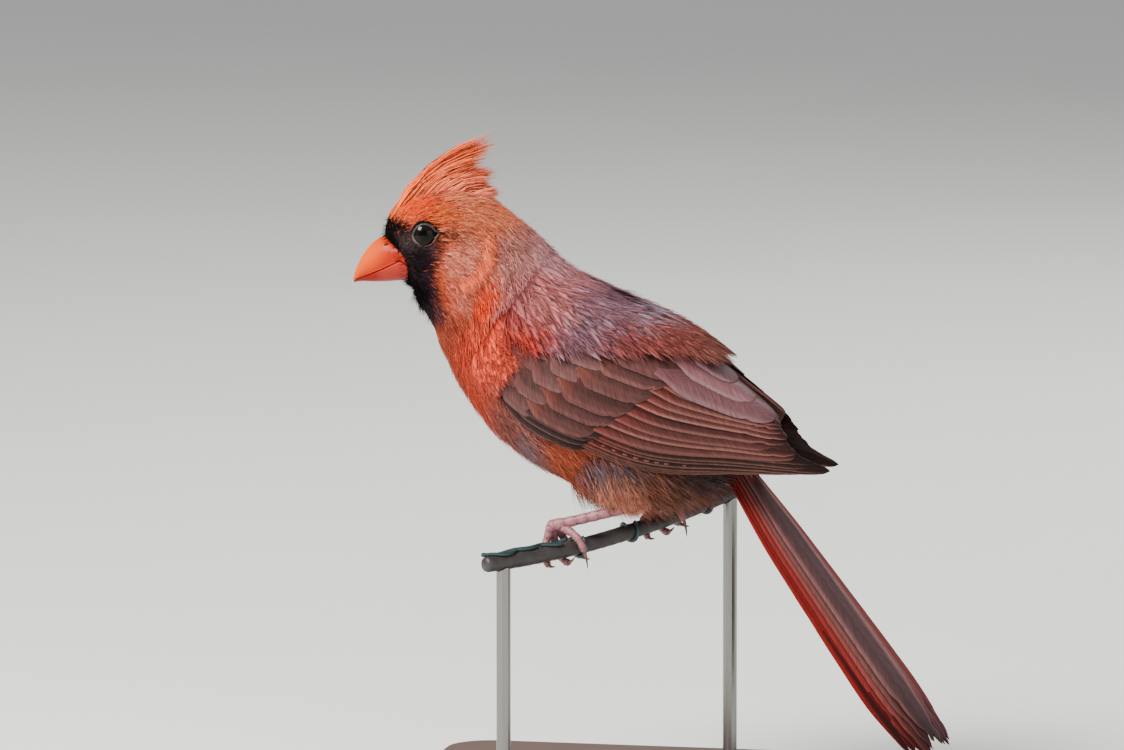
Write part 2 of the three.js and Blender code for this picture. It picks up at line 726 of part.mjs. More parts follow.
function tarsus(leg, grow = 0) {
  const steps = TARSUS_SCUTES * 2;
  const span = leg.toes.clone().sub(leg.ankle);
  const away = span.clone().normalize();
  const start = leg.ankle.clone().addScaledVector(away, 0.2);
  const end = leg.toes.clone().addScaledVector(away, -1.55);
  const path = Array.from({ length: steps + 1 }, (_, i) => start.clone().lerp(end, i / steps));
  const radii = path.map((_, i) => {
    const t = i / steps;
    const joint = 0.55 * Math.exp(-Math.pow(t / 0.12, 2)) + 0.25 * Math.exp(-Math.pow((1 - t) / 0.12, 2));
    return TARSUS_RADIUS + joint + grow + (i % 2 === 0 ? 0.07 : -0.05);
  });
  return tube(grow ? drawnOut(path, grow) : path, radii, 8);
}

function thigh(leg, grow = 0) {
  const path = [];
  const radii = [];
  const stages = [
    [-0.35, 5.2],
    [0, 7.6],
    [0.35, 6.6],
    [0.65, 4.6],
    [0.86, 2.9],
    [0.97, 1.9],
  ];
  for (const [t, radius] of stages) {
    path.push(leg.hip.clone().lerp(leg.ankle, t));
    radii.push(radius + grow);
  }
  return tube(grow ? drawnOut(path, grow) : path, radii, 12);
}

function footSolid(leg, toes) {
  const pad = ball(leg.toes, 1.45, 8, 6);
  return join([pad, ...toes]);
}

function baseSolid() {
  const [halfX, halfY, corner] = [BASE_LENGTH / 2, BASE_WIDTH / 2, BASE_CORNER];
  const outline = new THREE.Shape();
  outline.moveTo(-halfX + corner, -halfY);
  outline.lineTo(halfX - corner, -halfY);
  outline.absarc(halfX - corner, -halfY + corner, corner, -Math.PI / 2, 0);
  outline.absarc(halfX - corner, halfY - corner, corner, 0, Math.PI / 2);
  outline.absarc(-halfX + corner, halfY - corner, corner, Math.PI / 2, Math.PI);
  outline.absarc(-halfX + corner, -halfY + corner, corner, Math.PI, 1.5 * Math.PI);
  const points = outline.getPoints(6).slice(0, -1);
  const rim = points.map((p) => new THREE.Vector3(p.x, p.y, 0));
  const inset = (z, shrink) =>
    rim.map((p) => new THREE.Vector3(p.x * (1 - shrink / halfX), p.y * (1 - shrink / halfY), z));
  return solid(
    loft([inset(0, 0), inset(BASE_THICK - BASE_CHAMFER, 0), inset(BASE_THICK, BASE_CHAMFER)]),
  );
}

function post(along, rodClear) {
  const top = rodPoint(along);
  const path = [
    new THREE.Vector3(top.x, top.y, BASE_THICK + GAP),
    new THREE.Vector3(top.x, top.y, top.z + 0.4 * ROD_RADIUS),
  ];
  return tube(path, [POST_RADIUS, POST_RADIUS], 14).subtract(rodClear);
}

// Builds every node and places it in the group under its own name
const group = new THREE.Group();

function addNode(name, made, colour, roughness = 0.8, metalness = 0) {
  const material = new THREE.MeshStandardMaterial({ color: colour, roughness, metalness });
  const mesh = new THREE.Mesh(geometryOf(made), material);
  mesh.name = name;
  group.add(mesh);
}

const SCARLET = 0xc8452c;
const BRICK = 0x8c4a3c;
const CORAL = 0xf06a2a;
const SKIN = 0xb98a84;
const HORN = 0x3c302c;
const EYE_BROWN = 0x1a1210;
const GUNMETAL = 0x3a3a40;
const WALNUT = 0x4a3426;

const rodClear = rodSolid(GAP);
const bodyClear = bodyLength(NECK_END - 3, BODY.length - 1, GAP);
const tailWhole = tail();
const tailClear = tail(GAP + FINEST).hull();

const billWhole = billSolid();
const eyes = [LEFT, RIGHT].map((side) => turned(new THREE.Vector3(EYE.x, side * EYE.y, EYE.z)));
const crested = join([bodyLength(0, HEAD_END), ...crest()]).asOriginal().simplify(FINEST);
let headWhole = join([crested, lid(LEFT), lid(RIGHT)]);
for (const eye of eyes) headWhole = headWhole.subtract(ball(eye, EYE_RADIUS + GAP));
addNode("head", headWhole.subtract(billSolid(GAP)), SCARLET);
addNode("eye_left", ball(eyes[0], EYE_RADIUS), EYE_BROWN, 0.1);
addNode("eye_right", ball(eyes[1], EYE_RADIUS), EYE_BROWN, 0.1);

let billUpper = billWhole.subtract(belowMouth(-GAP / 2));
for (const side of [LEFT, RIGHT]) {
  billUpper = billUpper.subtract(ball(turned(mirrored(NOSTRIL, side)), NOSTRIL_RADIUS, 8, 6));
}
addNode("bill_upper", billUpper, CORAL, 0.35);
addNode("bill_lower", billWhole.intersect(belowMouth(GAP / 2)), CORAL, 0.35);

addNode("neck", bodyLength(HEAD_END + PART_GAP, NECK_END), SCARLET);

let torso = bodyLength(NECK_END + PART_GAP, BODY.length - 1);
torso = torso.subtract(tailClear);
for (const leg of Object.values(LEGS)) torso = torso.subtract(thigh(leg, GAP));
addNode("torso", torso, SCARLET);

addNode("wing_left", wing(LEFT, [bodyClear, tailClear]), BRICK);
addNode("wing_right", wing(RIGHT, [bodyClear, tailClear]), BRICK);
addNode("tail", tailWhole, BRICK);

for (const [name, leg] of Object.entries(LEGS)) {
  const parts = Object.entries(TOE_PLANS).map(([toe, plan]) => [toe, toeParts(leg, plan)]);
  const shank = tarsus(leg).subtract(thigh(leg, GAP)).subtract(bodyClear);
  const toes = footSolid(leg, parts.map(([, part]) => part.toe));
  const foot = toes.subtract(rodClear).subtract(tarsus(leg, GAP));
  addNode("thigh_" + name, thigh(leg), SCARLET);
  addNode("tarsus_" + name, shank, SKIN);
  addNode("foot_" + name, foot, SKIN);
  for (const [toe, part] of parts) {
    addNode("claw_" + name + "_" + toe, part.claw.subtract(rodClear), HORN, 0.4);
  }
}

addNode("perch_rod", rodSolid(), GUNMETAL, 0.5, 0.6);
addNode("stand_base", baseSolid(), WALNUT, 0.5);
addNode("stand_rod_front", post(-POST_AT, rodClear), GUNMETAL, 0.4, 0.8);
addNode("stand_rod_back", post(POST_AT, rodClear), GUNMETAL, 0.4, 0.8);

export default group;
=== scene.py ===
import math

import bpy
import numpy as np
from mathutils import Matrix


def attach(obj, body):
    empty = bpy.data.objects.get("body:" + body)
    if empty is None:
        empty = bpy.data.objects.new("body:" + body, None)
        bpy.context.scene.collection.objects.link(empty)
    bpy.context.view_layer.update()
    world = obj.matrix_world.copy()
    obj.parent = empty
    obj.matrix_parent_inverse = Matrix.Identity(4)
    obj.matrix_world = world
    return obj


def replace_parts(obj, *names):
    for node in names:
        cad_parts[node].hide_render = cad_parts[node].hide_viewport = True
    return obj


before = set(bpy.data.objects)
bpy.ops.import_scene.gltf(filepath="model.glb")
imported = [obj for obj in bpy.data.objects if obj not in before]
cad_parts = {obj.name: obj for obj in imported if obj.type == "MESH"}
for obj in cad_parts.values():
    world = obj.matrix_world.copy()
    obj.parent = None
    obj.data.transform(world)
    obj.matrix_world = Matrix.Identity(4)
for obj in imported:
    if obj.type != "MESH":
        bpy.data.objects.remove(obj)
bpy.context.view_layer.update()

MM = 0.001
DEG = math.pi / 180
LEFT = -1
RIGHT = 1
SIDE_NAMES = {LEFT: "left", RIGHT: "right"}
UP = np.array([0.0, 0.0, 1.0])

# Shape of the body, as in the solids: back point x and z, belly point x and z, half width, low widening
BODY = np.array([
    [-60.4, 150.4, -53.6, 138.2, 4.9, 0.0],
    [-58.9, 156.0, -52.0, 135.6, 7.2, 0.02],
    [-55.4, 160.0, -50.6, 132.4, 9.3, 0.04],
    [-49.6, 162.6, -48.8, 129.2, 10.7, 0.06],
    [-42.6, 163.4, -47.0, 125.8, 11.4, 0.08],
    [-35.0, 161.6, -45.6, 122.0, 11.9, 0.1],
    [-27.8, 157.0, -44.2, 118.6, 12.6, 0.12],
    [-21.4, 151.8, -42.6, 114.8, 14.0, 0.12],
    [-15.6, 146.6, -40.4, 110.6, 16.0, 0.1],
    [-9.2, 141.6, -37.2, 105.6, 18.2, 0.06],
    [-1.4, 137.0, -32.4, 99.4, 20.0, 0.02],
    [7.4, 131.4, -25.4, 93.2, 21.0, 0.0],
    [14.4, 125.6, -17.4, 88.4, 21.2, 0.0],
    [20.4, 119.6, -8.0, 84.0, 20.4, 0.02],
    [25.4, 112.8, 2.8, 81.4, 18.6, 0.04],
    [28.8, 106.2, 13.4, 81.6, 15.6, 0.02],
    [31.6, 101.2, 21.4, 83.6, 12.2, 0.0],
    [33.6, 97.4, 27.0, 86.6, 8.4, 0.0],
])
BODY_END = len(BODY) - 1.0
HEAD_TURN = 12 * DEG
TURN_AXIS_X = -29.0
TURN_STARTS = 9.0
TURN_ENDS = 5.0

BILL = np.array([
    [-68.9, 138.6, -68.7, 137.7, 0.35],
    [-68.0, 141.6, -66.6, 138.0, 1.7],
    [-66.0, 145.4, -63.4, 137.9, 3.2],
    [-63.4, 148.5, -59.4, 138.0, 4.9],
    [-60.6, 150.0, -55.4, 138.3, 6.3],
    [-56.6, 149.6, -49.6, 138.6, 7.7],
])
# The line of the mouth from tip to behind the gape
MOUTH = np.array([[-74, 135.0], [-68.6, 138.3], [-61.3, 141.6], [-56.4, 144.3], [-52.6, 141.6], [-46, 139.4]])
NOSTRIL = (-59.9, 3.9, 148.2)

EYE = (-49.8, 6.8, 151.5)
EYE_RADIUS = 4.1

CREST_ROOTS = np.array([
    [-58.0, 157.0], [-55.0, 160.0], [-51.5, 161.6], [-48.0, 162.4],
    [-44.0, 162.8], [-40.0, 162.4], [-36.0, 161.2],
])
CREST_TIPS = np.array([
    [-45.0, 170.4], [-33.4, 176.6], [-31.0, 174.6], [-32.4, 170.6],
    [-31.2, 167.6], [-31.6, 164.6], [-28.4, 161.0],
])
CREST_BOW = 0.13

# The surface that the folded wings lie on, as in the solids
CARRIER = np.array([
    [-16.0, 146.6, -40.8, 110.4, 17.0],
    [-9.5, 142.0, -37.6, 106.0, 19.6],
    [-1.4, 137.6, -32.7, 99.6, 22.0],
    [8.2, 133.0, -25.6, 93.2, 23.4],
    [16.4, 128.6, -17.7, 88.4, 23.8],
    [24.5, 123.2, -8.2, 84.0, 23.0],
    [31.0, 118.0, 2.7, 80.0, 20.8],
    [37.0, 113.2, 13.0, 79.0, 17.8],
    [43.0, 108.6, 24.0, 80.0, 14.6],
    [50.0, 103.0, 36.0, 82.0, 11.4],
    [57.0, 97.4, 49.0, 84.0, 8.4],
    [64.0, 92.0, 60.0, 86.4, 5.6],
])
WING_PLATE = np.array([
    [1.15, 84, 104],
    [1.6, 72, 116],
    [2.2, 62, 121],
    [3, 46, 122],
    [4, 28, 117],
    [5, 14, 106],
    [6, 8, 100],
    [7, 8, 96],
    [8, 12, 90],
    [8.6, 20, 84],
])

TAIL_ROOT = np.array([31.5, 0, 96.8])
TAIL_LENGTH = 100.0
TAIL_SHORTER = [3, 0.5, 0, 1.5, 3, 5]
TAIL_SLOPE = 54 * DEG
TAIL_ROLL = 16 * DEG
TAIL_WIDTH = 10.4
TAIL_ROOT_STEP = 0.9
TAIL_FAN = 0.72 * DEG
TAIL_DROP = 0.42
TAIL_ROOF = 7 * DEG

ROD_RADIUS = 2.1
ROD_HALF_LENGTH = 43.0
ROD_CENTRE = np.array([2, 0, 70.6])
ROD_HEADING = np.array([0.685, 0.71, 0.17]) / np.linalg.norm([0.685, 0.71, 0.17])
ROD_BOW = 0.0017

LEGS = {
    "left": {"hip": (3, -9.5, 91), "ankle": (10.2, -10.5, 80.6), "toes": (-13.4, -9.8, 74.2)},
    "right": {"hip": (6, 9.5, 90), "ankle": (1.5, 15.0, 92.0), "toes": (10.6, 12.0, 77.4)},
}


# Numbers and vectors, worked on whole arrays of points at once. First values between a table's rows, on a
# smooth curve through them
def between(rows, at):
    at = np.clip(np.asarray(at, float), 0, len(rows) - 1)
    i = np.minimum(at.astype(int), len(rows) - 2)
    t = (at - i)[:, None]
    before, start = rows[np.maximum(i - 1, 0)], rows[i]
    end, after = rows[i + 1], rows[np.minimum(i + 2, len(rows) - 1)]
    slope_in, slope_out = (end - before) / 2, (after - start) / 2
    t2, t3 = t * t, t * t * t
    return (
        (2 * t3 - 3 * t2 + 1) * start
        + (t3 - 2 * t2 + t) * slope_in
        + (3 * t2 - 2 * t3) * end
        + (t3 - t2) * slope_out
    )


def smooth(t):
    t = np.clip(t, 0, 1)
    return t * t * (3 - 2 * t)


def unit(v):
    return v / np.maximum(np.linalg.norm(v, axis=-1, keepdims=True), 1e-9)


# Coordinates or channels as the last axis of one array
def stacked(*parts):
    return np.stack(np.broadcast_arrays(*parts), axis=-1)


# Points turned with the head, wholly or by a share
def turned(points, share=1.0):
    angle = HEAD_TURN * np.asarray(share)
    x = points[..., 0] - TURN_AXIS_X
    y = points[..., 1]
    turned_x = TURN_AXIS_X + x * np.cos(angle) - y * np.sin(angle)
    return stacked(turned_x, x * np.sin(angle) + y * np.cos(angle), points[..., 2])


# A point on the ring that a row of BODY, BILL or CARRIER describes; the angle runs from the back
def section_point(row, angle, grow=0.0):
    up = stacked(row[:, 0] - row[:, 2], row[:, 1] - row[:, 3]) / 2
    middle = stacked(row[:, 0] + row[:, 2], row[:, 1] + row[:, 3]) / 2
    tall = np.linalg.norm(up, axis=-1, keepdims=True)
    up = up * (tall + np.reshape(grow, (-1, 1))) / tall
    wider = row[:, 5] if row.shape[1] > 5 else 0
    wide = (row[:, 4] + grow) * np.sin(angle) * (1 - wider * np.cos(angle))
    flat = middle + up * np.cos(angle)[:, None]
    return stacked(flat[:, 0], wide, flat[:, 1])


def body_point(at, angle, grow=0.0, turn=True):
    points = section_point(between(BODY, at), angle, np.broadcast_to(grow, np.shape(at)))
    if not turn:
        return points
    return turned(points, smooth((TURN_STARTS - at) / (TURN_STARTS - TURN_ENDS)))


# Direction towards the tail and direction out of the body, at places on it
def body_lie(at, angle):
    step = 0.04
    along = unit(body_point(at + step, angle) - body_point(at - step, angle))
    around = body_point(at, angle + 0.02) - body_point(at, angle - 0.02)
    return along, unit(np.cross(along, around))


# A point on the surface under the wings, which runs on straight past its last row
def carrier_point(station, degrees, side, offset=0.0):
    last = len(CARRIER) - 1
    row = between(CARRIER, station)
    over = np.maximum(station - last, 0)[:, None]
    row = row + over * (CARRIER[last] - CARRIER[last - 1])
    points = section_point(row, np.asarray(degrees) * DEG, offset)
    return points * np.array([1, side, 1])


def crest_point(t, s, shift, reach=1.0):
    root = between(CREST_ROOTS, t * (len(CREST_ROOTS) - 1))
    tip = between(CREST_TIPS, t * (len(CREST_TIPS) - 1))
    span = (tip - root) * np.reshape(reach, (-1, 1))
    bow = CREST_BOW * np.sin(np.pi * np.maximum(0, s)) * (1 - 0.3 * s)
    x = root[:, 0] + span[:, 0] * s - span[:, 1] * bow
    z = root[:, 1] + span[:, 1] * s + span[:, 0] * bow
    return turned(stacked(x, shift * (1 - 0.45 * s), z))


def rod_point(along):
    along = np.asarray(along, float)
    return ROD_CENTRE + along[..., None] * ROD_HEADING + (ROD_BOW * along**2)[..., None] * UP


# Colours
def linear(code):
    value = [int(code[i : i + 2], 16) / 255 for i in (1, 3, 5)]
    return np.array([c / 12.92 if c <= 0.04045 else ((c + 0.055) / 1.055) ** 2.4 for c in value])


# Soft clouds of about the given size in millimetres, as numbers round 0
def wavy(points, size, seed):
    rng = np.random.default_rng(seed)
    total = np.zeros(points.shape[:-1])
    for scale in (1.0, 2.1, 4.3):
        heading = unit(rng.normal(size=(3, 3)))
        phase = rng.uniform(0, 6.28, 3)
        waves = np.sin(points @ heading.T * (scale * 6.28 / size) + phase)
        total += waves.prod(axis=-1) / scale
    return total


# Markings of the body plumage: middle x and z, half lengths along x and z, colour, softness of the edge.
# Those of the head are given before the head is turned.
MARKINGS = [
    (-10, 92, 22, 13, "#7C483C", 0.5),
    (20, 92, 16, 12, "#6E4030", 0.5),
    (-4, 132, 22, 11, "#84606E", 0.4),
    (24, 116, 18, 14, "#7C4A42", 0.4),
    (-22, 146, 13, 12, "#BC8488", 0.4),
    (-22, 137, 10, 8, "#B26464", 0.5),
    (-24, 129, 8, 4.5, "#A83028", 0.5),
    (-33, 122, 9, 9, "#DE4A32", 0.45),
    (-33, 112, 6, 12, "#E25038", 0.45),
    (-26, 104, 8, 12, "#A06058", 0.45),
    (-24, 97, 4, 5, "#8E7078", 0.5),
    (-13, 96, 8, 9, "#C05C40", 0.5),
    (6.8, 128.2, 12, 3.4, "#86403C", 0.6),
    (9, 132.5, 5, 1.6, "#A9A3B0", 0.5),
    (1, 91.5, 8, 4.2, "#5E5860", 0.5),
    (6, 86, 6, 5, "#8E5844", 0.5),
    (24, 90, 8, 5, "#453838", 0.5),
    (15, 84, 7, 4, "#70483C", 0.5),
    (-44, 147, 15, 15, "#F25E30", 0.4),
    (-29, 150, 6, 9, "#B4726A", 0.5),
    (-39.8, 145, 7.6, 7.2, "#FF8870", 0.3),
    (-35.3, 136.6, 4.4, 5.0, "#F03C10", 0.4),
    (-41.5, 136.0, 3.6, 4.5, "#F07E68", 0.4),
    (-44, 158, 16, 6, "#FC8058", 0.4),
    (-53.0, 158.0, 7.6, 3.6, "#FF4A00", 0.35),
    (-47.0, 156.6, 4.0, 2.2, "#E8662E", 0.4),
    (-50.0, 162.2, 2.0, 0.9, "#4C3230", 0.6),
    (-43.6, 152.6, 3.6, 0.9, "#5B3935", 0.6),
    (-50.6, 150.4, 4.5, 3.9, "#2E2424", 0.3),
    (-53.2, 146.4, 4.4, 2.8, "#6E5A58", 0.5),
    (-54.8, 147.8, 4.4, 5.0, "#46383A", 0.35),
    (-58.8, 152.2, 4.0, 2.0, "#140E10", 0.25),
    # The throat of the bib: black lightened to purple-grey, partly painted sheen
    (-52.4, 143.0, 3.3, 6.0, "#2E242A", 0.25),
    (-51.2, 136.0, 3.8, 5.6, "#3A2E38", 0.3),
    (-49.0, 130.8, 3.3, 3.4, "#40343E", 0.4),
    (-55.0, 136.0, 5.0, 4.0, "#0F0B0C", 0.4),
]
BASE_RED = linear("#B8503A")
MASK_BLACK = linear("#0F0B0C")


def marked_tint(points):
    spread = wavy(points, 5.0, 11)
    tint = np.tile(BASE_RED, (len(points), 1))
    for x, z, half_x, half_z, colour, edge in MARKINGS:
        far = np.hypot((points[:, 0] - x) / half_x, (points[:, 2] - z) / half_z)
        share = smooth((1 + edge - far - 0.18 * spread) / (2 * edge))[:, None]
        tint = tint * (1 - share) + linear(colour) * share
    return tint * (1 + 0.15 * wavy(points, 3.1, 5)[:, None])


def body_tint(at, angle, stray=None):
    points = body_point(at, angle, turn=False)
    if stray is not None:
        points = points + stray
    tint = marked_tint(points)
    bill_ring = smooth((1.0 - at + 0.3 * wavy(points, 5.0, 11)) / 0.5)[:, None]
    return tint * (1 - bill_ring) + MASK_BLACK * bill_ring


def jittered(tint, rng, light=0.12, warm=0.05):
    count = len(tint)
    tint = tint * np.exp(rng.normal(0, light, (count, 1)))
    return np.clip(tint * np.exp(rng.normal(0, warm, (count, 3))), 0.002, 1)


# A few feathers darker and a few paler than those around them
def streaked(tint, rng):
    return np.clip(tint * rng.choice([0.55, 1.0, 1.2], (len(tint), 1), p=[0.18, 0.68, 0.14]), 0.002, 1)


# Turns each direction aside on the surface by a random amount
def swerved(along, out, rng, spread, mean=0.0):
    return unit(along + np.cross(out, along) * rng.normal(mean, spread, (len(along), 1)))


# Adds a node with its settings, values for its inputs by name, and links from other nodes' outputs
def node(tree, kind, inputs=None, links=None, **settings):
    made = tree.nodes.new(kind)
    for key, value in settings.items():
        setattr(made, key, value)
    for key, value in (inputs or {}).items():
        made.inputs[key].default_value = value
    for key, (source, output) in (links or {}).items():
        tree.links.new(source.outputs[output], made.inputs[key])
    return made


# Materials
def new_material(name):
    material = bpy.data.materials.new(name)
    material.use_nodes = True
    material.node_tree.nodes.clear()
    return material, material.node_tree


# The piece's own colours, made darker and paler by a pattern
def shaded_tint(tree, source, limits):
    tint = node(tree, "ShaderNodeAttribute", attribute_name="tint")
    shade = node(tree, "ShaderNodeMapRange", limits, {"Value": source})
    both = {0: (tint, "Color"), 3: (shade, "Result")}
    return node(tree, "ShaderNodeVectorMath", {}, both, operation="SCALE"), "Vector"


# The shader that ends each material. bump: its strength and its height in metres
def finish_material(material, finish, links, relief=None, bump=None, invert=False):
    tree = material.node_tree
    if bump:
        sizes = dict(zip(("Strength", "Distance"), bump))
        fine = node(tree, "ShaderNodeBump", sizes, {"Height": relief}, invert=invert)
        links = {**links, "Normal": (fine, "Normal")}
    shader = node(tree, "ShaderNodeBsdfPrincipled", finish, links)
    node(tree, "ShaderNodeOutputMaterial", links={"Surface": (shader, "BSDF")})
    return material


def ramp_colour(tree, source, codes):
    ramp = node(tree, "ShaderNodeValToRGB", links={"Fac": source})
    for element, code in zip(ramp.color_ramp.elements, codes):
        element.color = (*linear(code), 1)
    return ramp, "Color"


# A texture on Object coordinates, and the output that is read. pattern: its kind, values and output
def textured(tree, pattern, stretch=None):
    kind, values, output = pattern
    spot = node(tree, "ShaderNodeTexCoord"), "Object"
    if stretch:
        spot = node(tree, "ShaderNodeMapping", {"Scale": stretch}, {"Vector": spot}), "Vector"
    return node(tree, kind, values, {"Vector": spot}), output


# Most materials: a pattern shades the piece's own colours or runs between two codes, and may be raised.
# stretch: a scale for the pattern's coordinates; relief: another pattern for the bump
def patterned(
    name, pattern, finish, shades=None, codes=None, bump=None, stretch=None, relief=None, invert=False
):
    material, tree = new_material(name)
    source = textured(tree, pattern, stretch)
    if codes:
        colour = ramp_colour(tree, source, codes)
    else:
        colour = shaded_tint(tree, source, dict(zip(("To Min", "To Max"), shades)))
    raised = textured(tree, relief) if relief else source
    return finish_material(material, finish, {"Base Color": colour}, raised, bump, invert)


def noise(scale, detail=2.0, **values):
    return "ShaderNodeTexNoise", {"Scale": scale, "Detail": detail, **values}, "Fac"


# Contour feathers: soft keratin barbs, matt, so that the colour keeps its depth at a low angle. Their
# grain is drawn 1 mm wide, because that of real barbs is too fine to show
def plumage_material(name, roughness):
    finish = {"Roughness": roughness, "Specular IOR Level": 0.05}
    return patterned(name, noise(900.0, 3.0), finish, shades=(0.75, 1.25), bump=(0.25, 0.0002))


# Flight feathers: flat webs of keratin barbs that slant away from a darker shaft. Real barbs lie 0.3 mm
# apart; the streaks here are about 0.6 mm, as finer ones are lost in the picture
def flight_material():
    material, tree = new_material("Keratin flight feather web")
    place = node(tree, "ShaderNodeUVMap", uv_map="web")
    split = node(tree, "ShaderNodeSeparateXYZ", {}, {"Vector": (place, "UV")})
    aside = node(tree, "ShaderNodeMath", {}, {0: (split, "X")}, operation="ABSOLUTE")
    slant = node(tree, "ShaderNodeMath", {1: 1.3}, {0: (aside, "Value")}, operation="MULTIPLY")
    barb = node(tree, "ShaderNodeMath", {}, {0: (split, "Y"), 1: (slant, "Value")}, operation="SUBTRACT")
    along_barb = node(tree, "ShaderNodeMath", {1: 0.16}, {0: (split, "X")}, operation="MULTIPLY")
    grid = node(tree, "ShaderNodeCombineXYZ", {}, {"X": (barb, "Value"), "Y": (along_barb, "Value")})
    streak = node(tree, "ShaderNodeTexNoise", {"Scale": 1.7, "Detail": 5.0}, {"Vector": (grid, "Vector")})
    limits = {"From Min": 0.3, "From Max": 0.7, "To Min": 0.62, "To Max": 1.36}
    links = {"Base Color": shaded_tint(tree, (streak, "Fac"), limits)}
    finish = {"Roughness": 0.6, "Specular IOR Level": 0.12}
    return finish_material(material, finish, links, (streak, "Fac"), (0.5, 0.00015))


# Wet eye: clear cornea over a dark brown iris, a sharp gloss with no grain of its own
def eye_material():
    material, tree = new_material("Glossy cornea over brown iris")
    tint = node(tree, "ShaderNodeAttribute", attribute_name="tint")
    finish = {"Roughness": 0.05, "Specular IOR Level": 0.14}
    return finish_material(material, finish, {"Base Color": (tint, "Color")})


# Drawn steel rod, brushed round: fine lines across its length, 0.14 mm apart
def post_material():
    material, tree = new_material("Brushed steel rod")
    lines = textured(tree, noise(4.0, 3.0), (40.0, 40.0, 1800.0))
    rough = node(tree, "ShaderNodeMapRange", {"To Min": 0.22, "To Max": 0.42}, {"Value": lines})
    finish = {"Base Color": (*linear("#8C8A86"), 1), "Metallic": 1.0}
    return finish_material(material, finish, {"Roughness": (rough, "Result")})


PLUMAGE = plumage_material("Soft keratin contour feathers", 0.8)
SKIN = plumage_material("Down over skin", 0.9)
WEB = flight_material()
CORNEA = eye_material()
# Horn of the bill: smooth keratin, a little waxy, with 6 mm clouds and growth lines 1.4 mm apart
HORN = patterned(
    "Waxy keratin bill",
    noise(160.0, 3.0),
    {"Roughness": 0.4, "Specular IOR Level": 0.14},
    shades=(0.86, 1.12),
    bump=(0.12, 0.0001),
    relief=("ShaderNodeTexWave", {"Scale": 220.0, "Distortion": 3.0, "Detail": 2.0}, "Fac"),
)
# Leg skin: dry overlapping scutes in cells of about 0.7 mm with darker seams
SCALES = patterned(
    "Scaled leg skin",
    ("ShaderNodeTexVoronoi", {"Scale": 1500.0}, "Distance"),
    {"Roughness": 0.5, "Subsurface Weight": 0.1, "Subsurface Scale": 0.001},
    shades=(1.12, 0.7),
    bump=(0.5, 0.0002),
    invert=True,
)
# Painted steel rod: dark, chalky and a little rough where the weather has dulled it, in 4 mm blotches
ROD_PAINT = patterned(
    "Weathered dark coated steel",
    noise(240.0, 6.0),
    {"Roughness": 0.48, "Metallic": 0.2},
    codes=("#1B191B", "#4A4443"),
    bump=(0.3, 0.0003),
)
# Green-black plastic on the binding wire: smooth, with faint dust in 2 mm spots
WIRE_COAT = patterned(
    "Dark green PVC wire coating", noise(420.0, 4.0), {"Roughness": 0.42}, codes=("#0E1E20", "#2E4A4A")
)
# Stained walnut board: grain lines about 1 mm apart along X under a satin lacquer
WALNUT = patterned(
    "Stained walnut under satin lacquer",
    noise(5.0, 8.0, Distortion=0.6),
    {"Roughness": 0.35, "Coat Weight": 0.3},
    codes=("#2A1A12", "#6B452E"),
    bump=(0.1, 0.0003),
    stretch=(12.0, 160.0, 160.0),
)
# Plain painted floor, with clouds too wide to notice
FLOOR_PAINT = patterned(
    "Pale matt studio floor", noise(6.0), {"Roughness": 0.9}, codes=("#E3E4E0", "#EAEBE7")
)


# Faces of closed rings of points, swept along many paths at once: stations x ring points for each
def ring_faces(count, stations, ring):
    def quads(k, j):
        a, b = k * ring + j, k * ring + (j + 1) % ring
        return [a, b, b + ring, a + ring]

    one = [quads(k, j) for k in range(stations - 1) for j in range(ring)]
    near = list(range(ring - 1, -1, -1))
    far = [(stations - 1) * ring + j for j in range(ring)]
    offsets = (np.arange(count) * stations * ring)[:, None, None]
    sides = (np.array(one)[None] + offsets).reshape(-1, 4).tolist()
    caps = (np.array([near, far])[None] + offsets).reshape(-1, ring).tolist()
    return sides + caps


# A piece from points in closed rings along a path, or along many: paths, stations, ring points
def add_piece(name, points, material, tint, uvs=None, faces=None, flip=False):
    if faces is None:
        faces = ring_faces(*(1, *points.shape)[-4:-1])
    if flip:
        faces = [face[::-1] for face in faces]
    mesh = bpy.data.meshes.new(name)
    mesh.from_pydata((points * MM).reshape(-1, 3).tolist(), [], faces)
    if tint is not None:
        rgba = np.ones((points.size // 3, 4), np.float32)
        rgba[:, :3] = np.broadcast_to(tint, points.shape).reshape(-1, 3)
        mesh.color_attributes.new("tint", "FLOAT_COLOR", "POINT").data.foreach_set("color", rgba.ravel())
    loops = np.empty(len(mesh.loops), np.int64)
    mesh.loops.foreach_get("vertex_index", loops)
    for uv_name, uv in (uvs or {}).items():
        layer = mesh.uv_layers.new(name=uv_name)
        layer.data.foreach_set("uv", uv.reshape(-1, 2).astype(np.float32)[loops].ravel())
    mesh.polygons.foreach_set("use_smooth", [True] * len(mesh.polygons))
    mesh.materials.append(material)
    mesh.validate()
    piece = bpy.data.objects.new(name, mesh)
    bpy.context.scene.collection.objects.link(piece)
    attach(piece, "root")
    return piece


# Node trees for bristles, which repeat over a surface, and for wire, which follows a path
def node_tree(name, sizes):
    tree = bpy.data.node_groups.new(name, "GeometryNodeTree")
    for in_out in ("INPUT", "OUTPUT"):
        tree.interface.new_socket("Geometry", in_out=in_out, socket_type="NodeSocketGeometry")
    for size_name, value in sizes.items():
        kind = "NodeSocketInt" if isinstance(value, int) else "NodeSocketFloat"
        tree.interface.new_socket(size_name, in_out="INPUT", socket_type=kind).default_value = value
    return tree, node(tree, "NodeGroupInput")


def finish_tree(tree, shape, material):
    solid = node(tree, "GeometryNodeRealizeInstances", links={"Geometry": shape})
    links = {"Geometry": (solid, "Geometry")}
    painted = node(tree, "GeometryNodeSetMaterial", {"Material": material}, links)
    node(tree, "NodeGroupOutput", links={"Geometry": (painted, "Geometry")})
    return tree


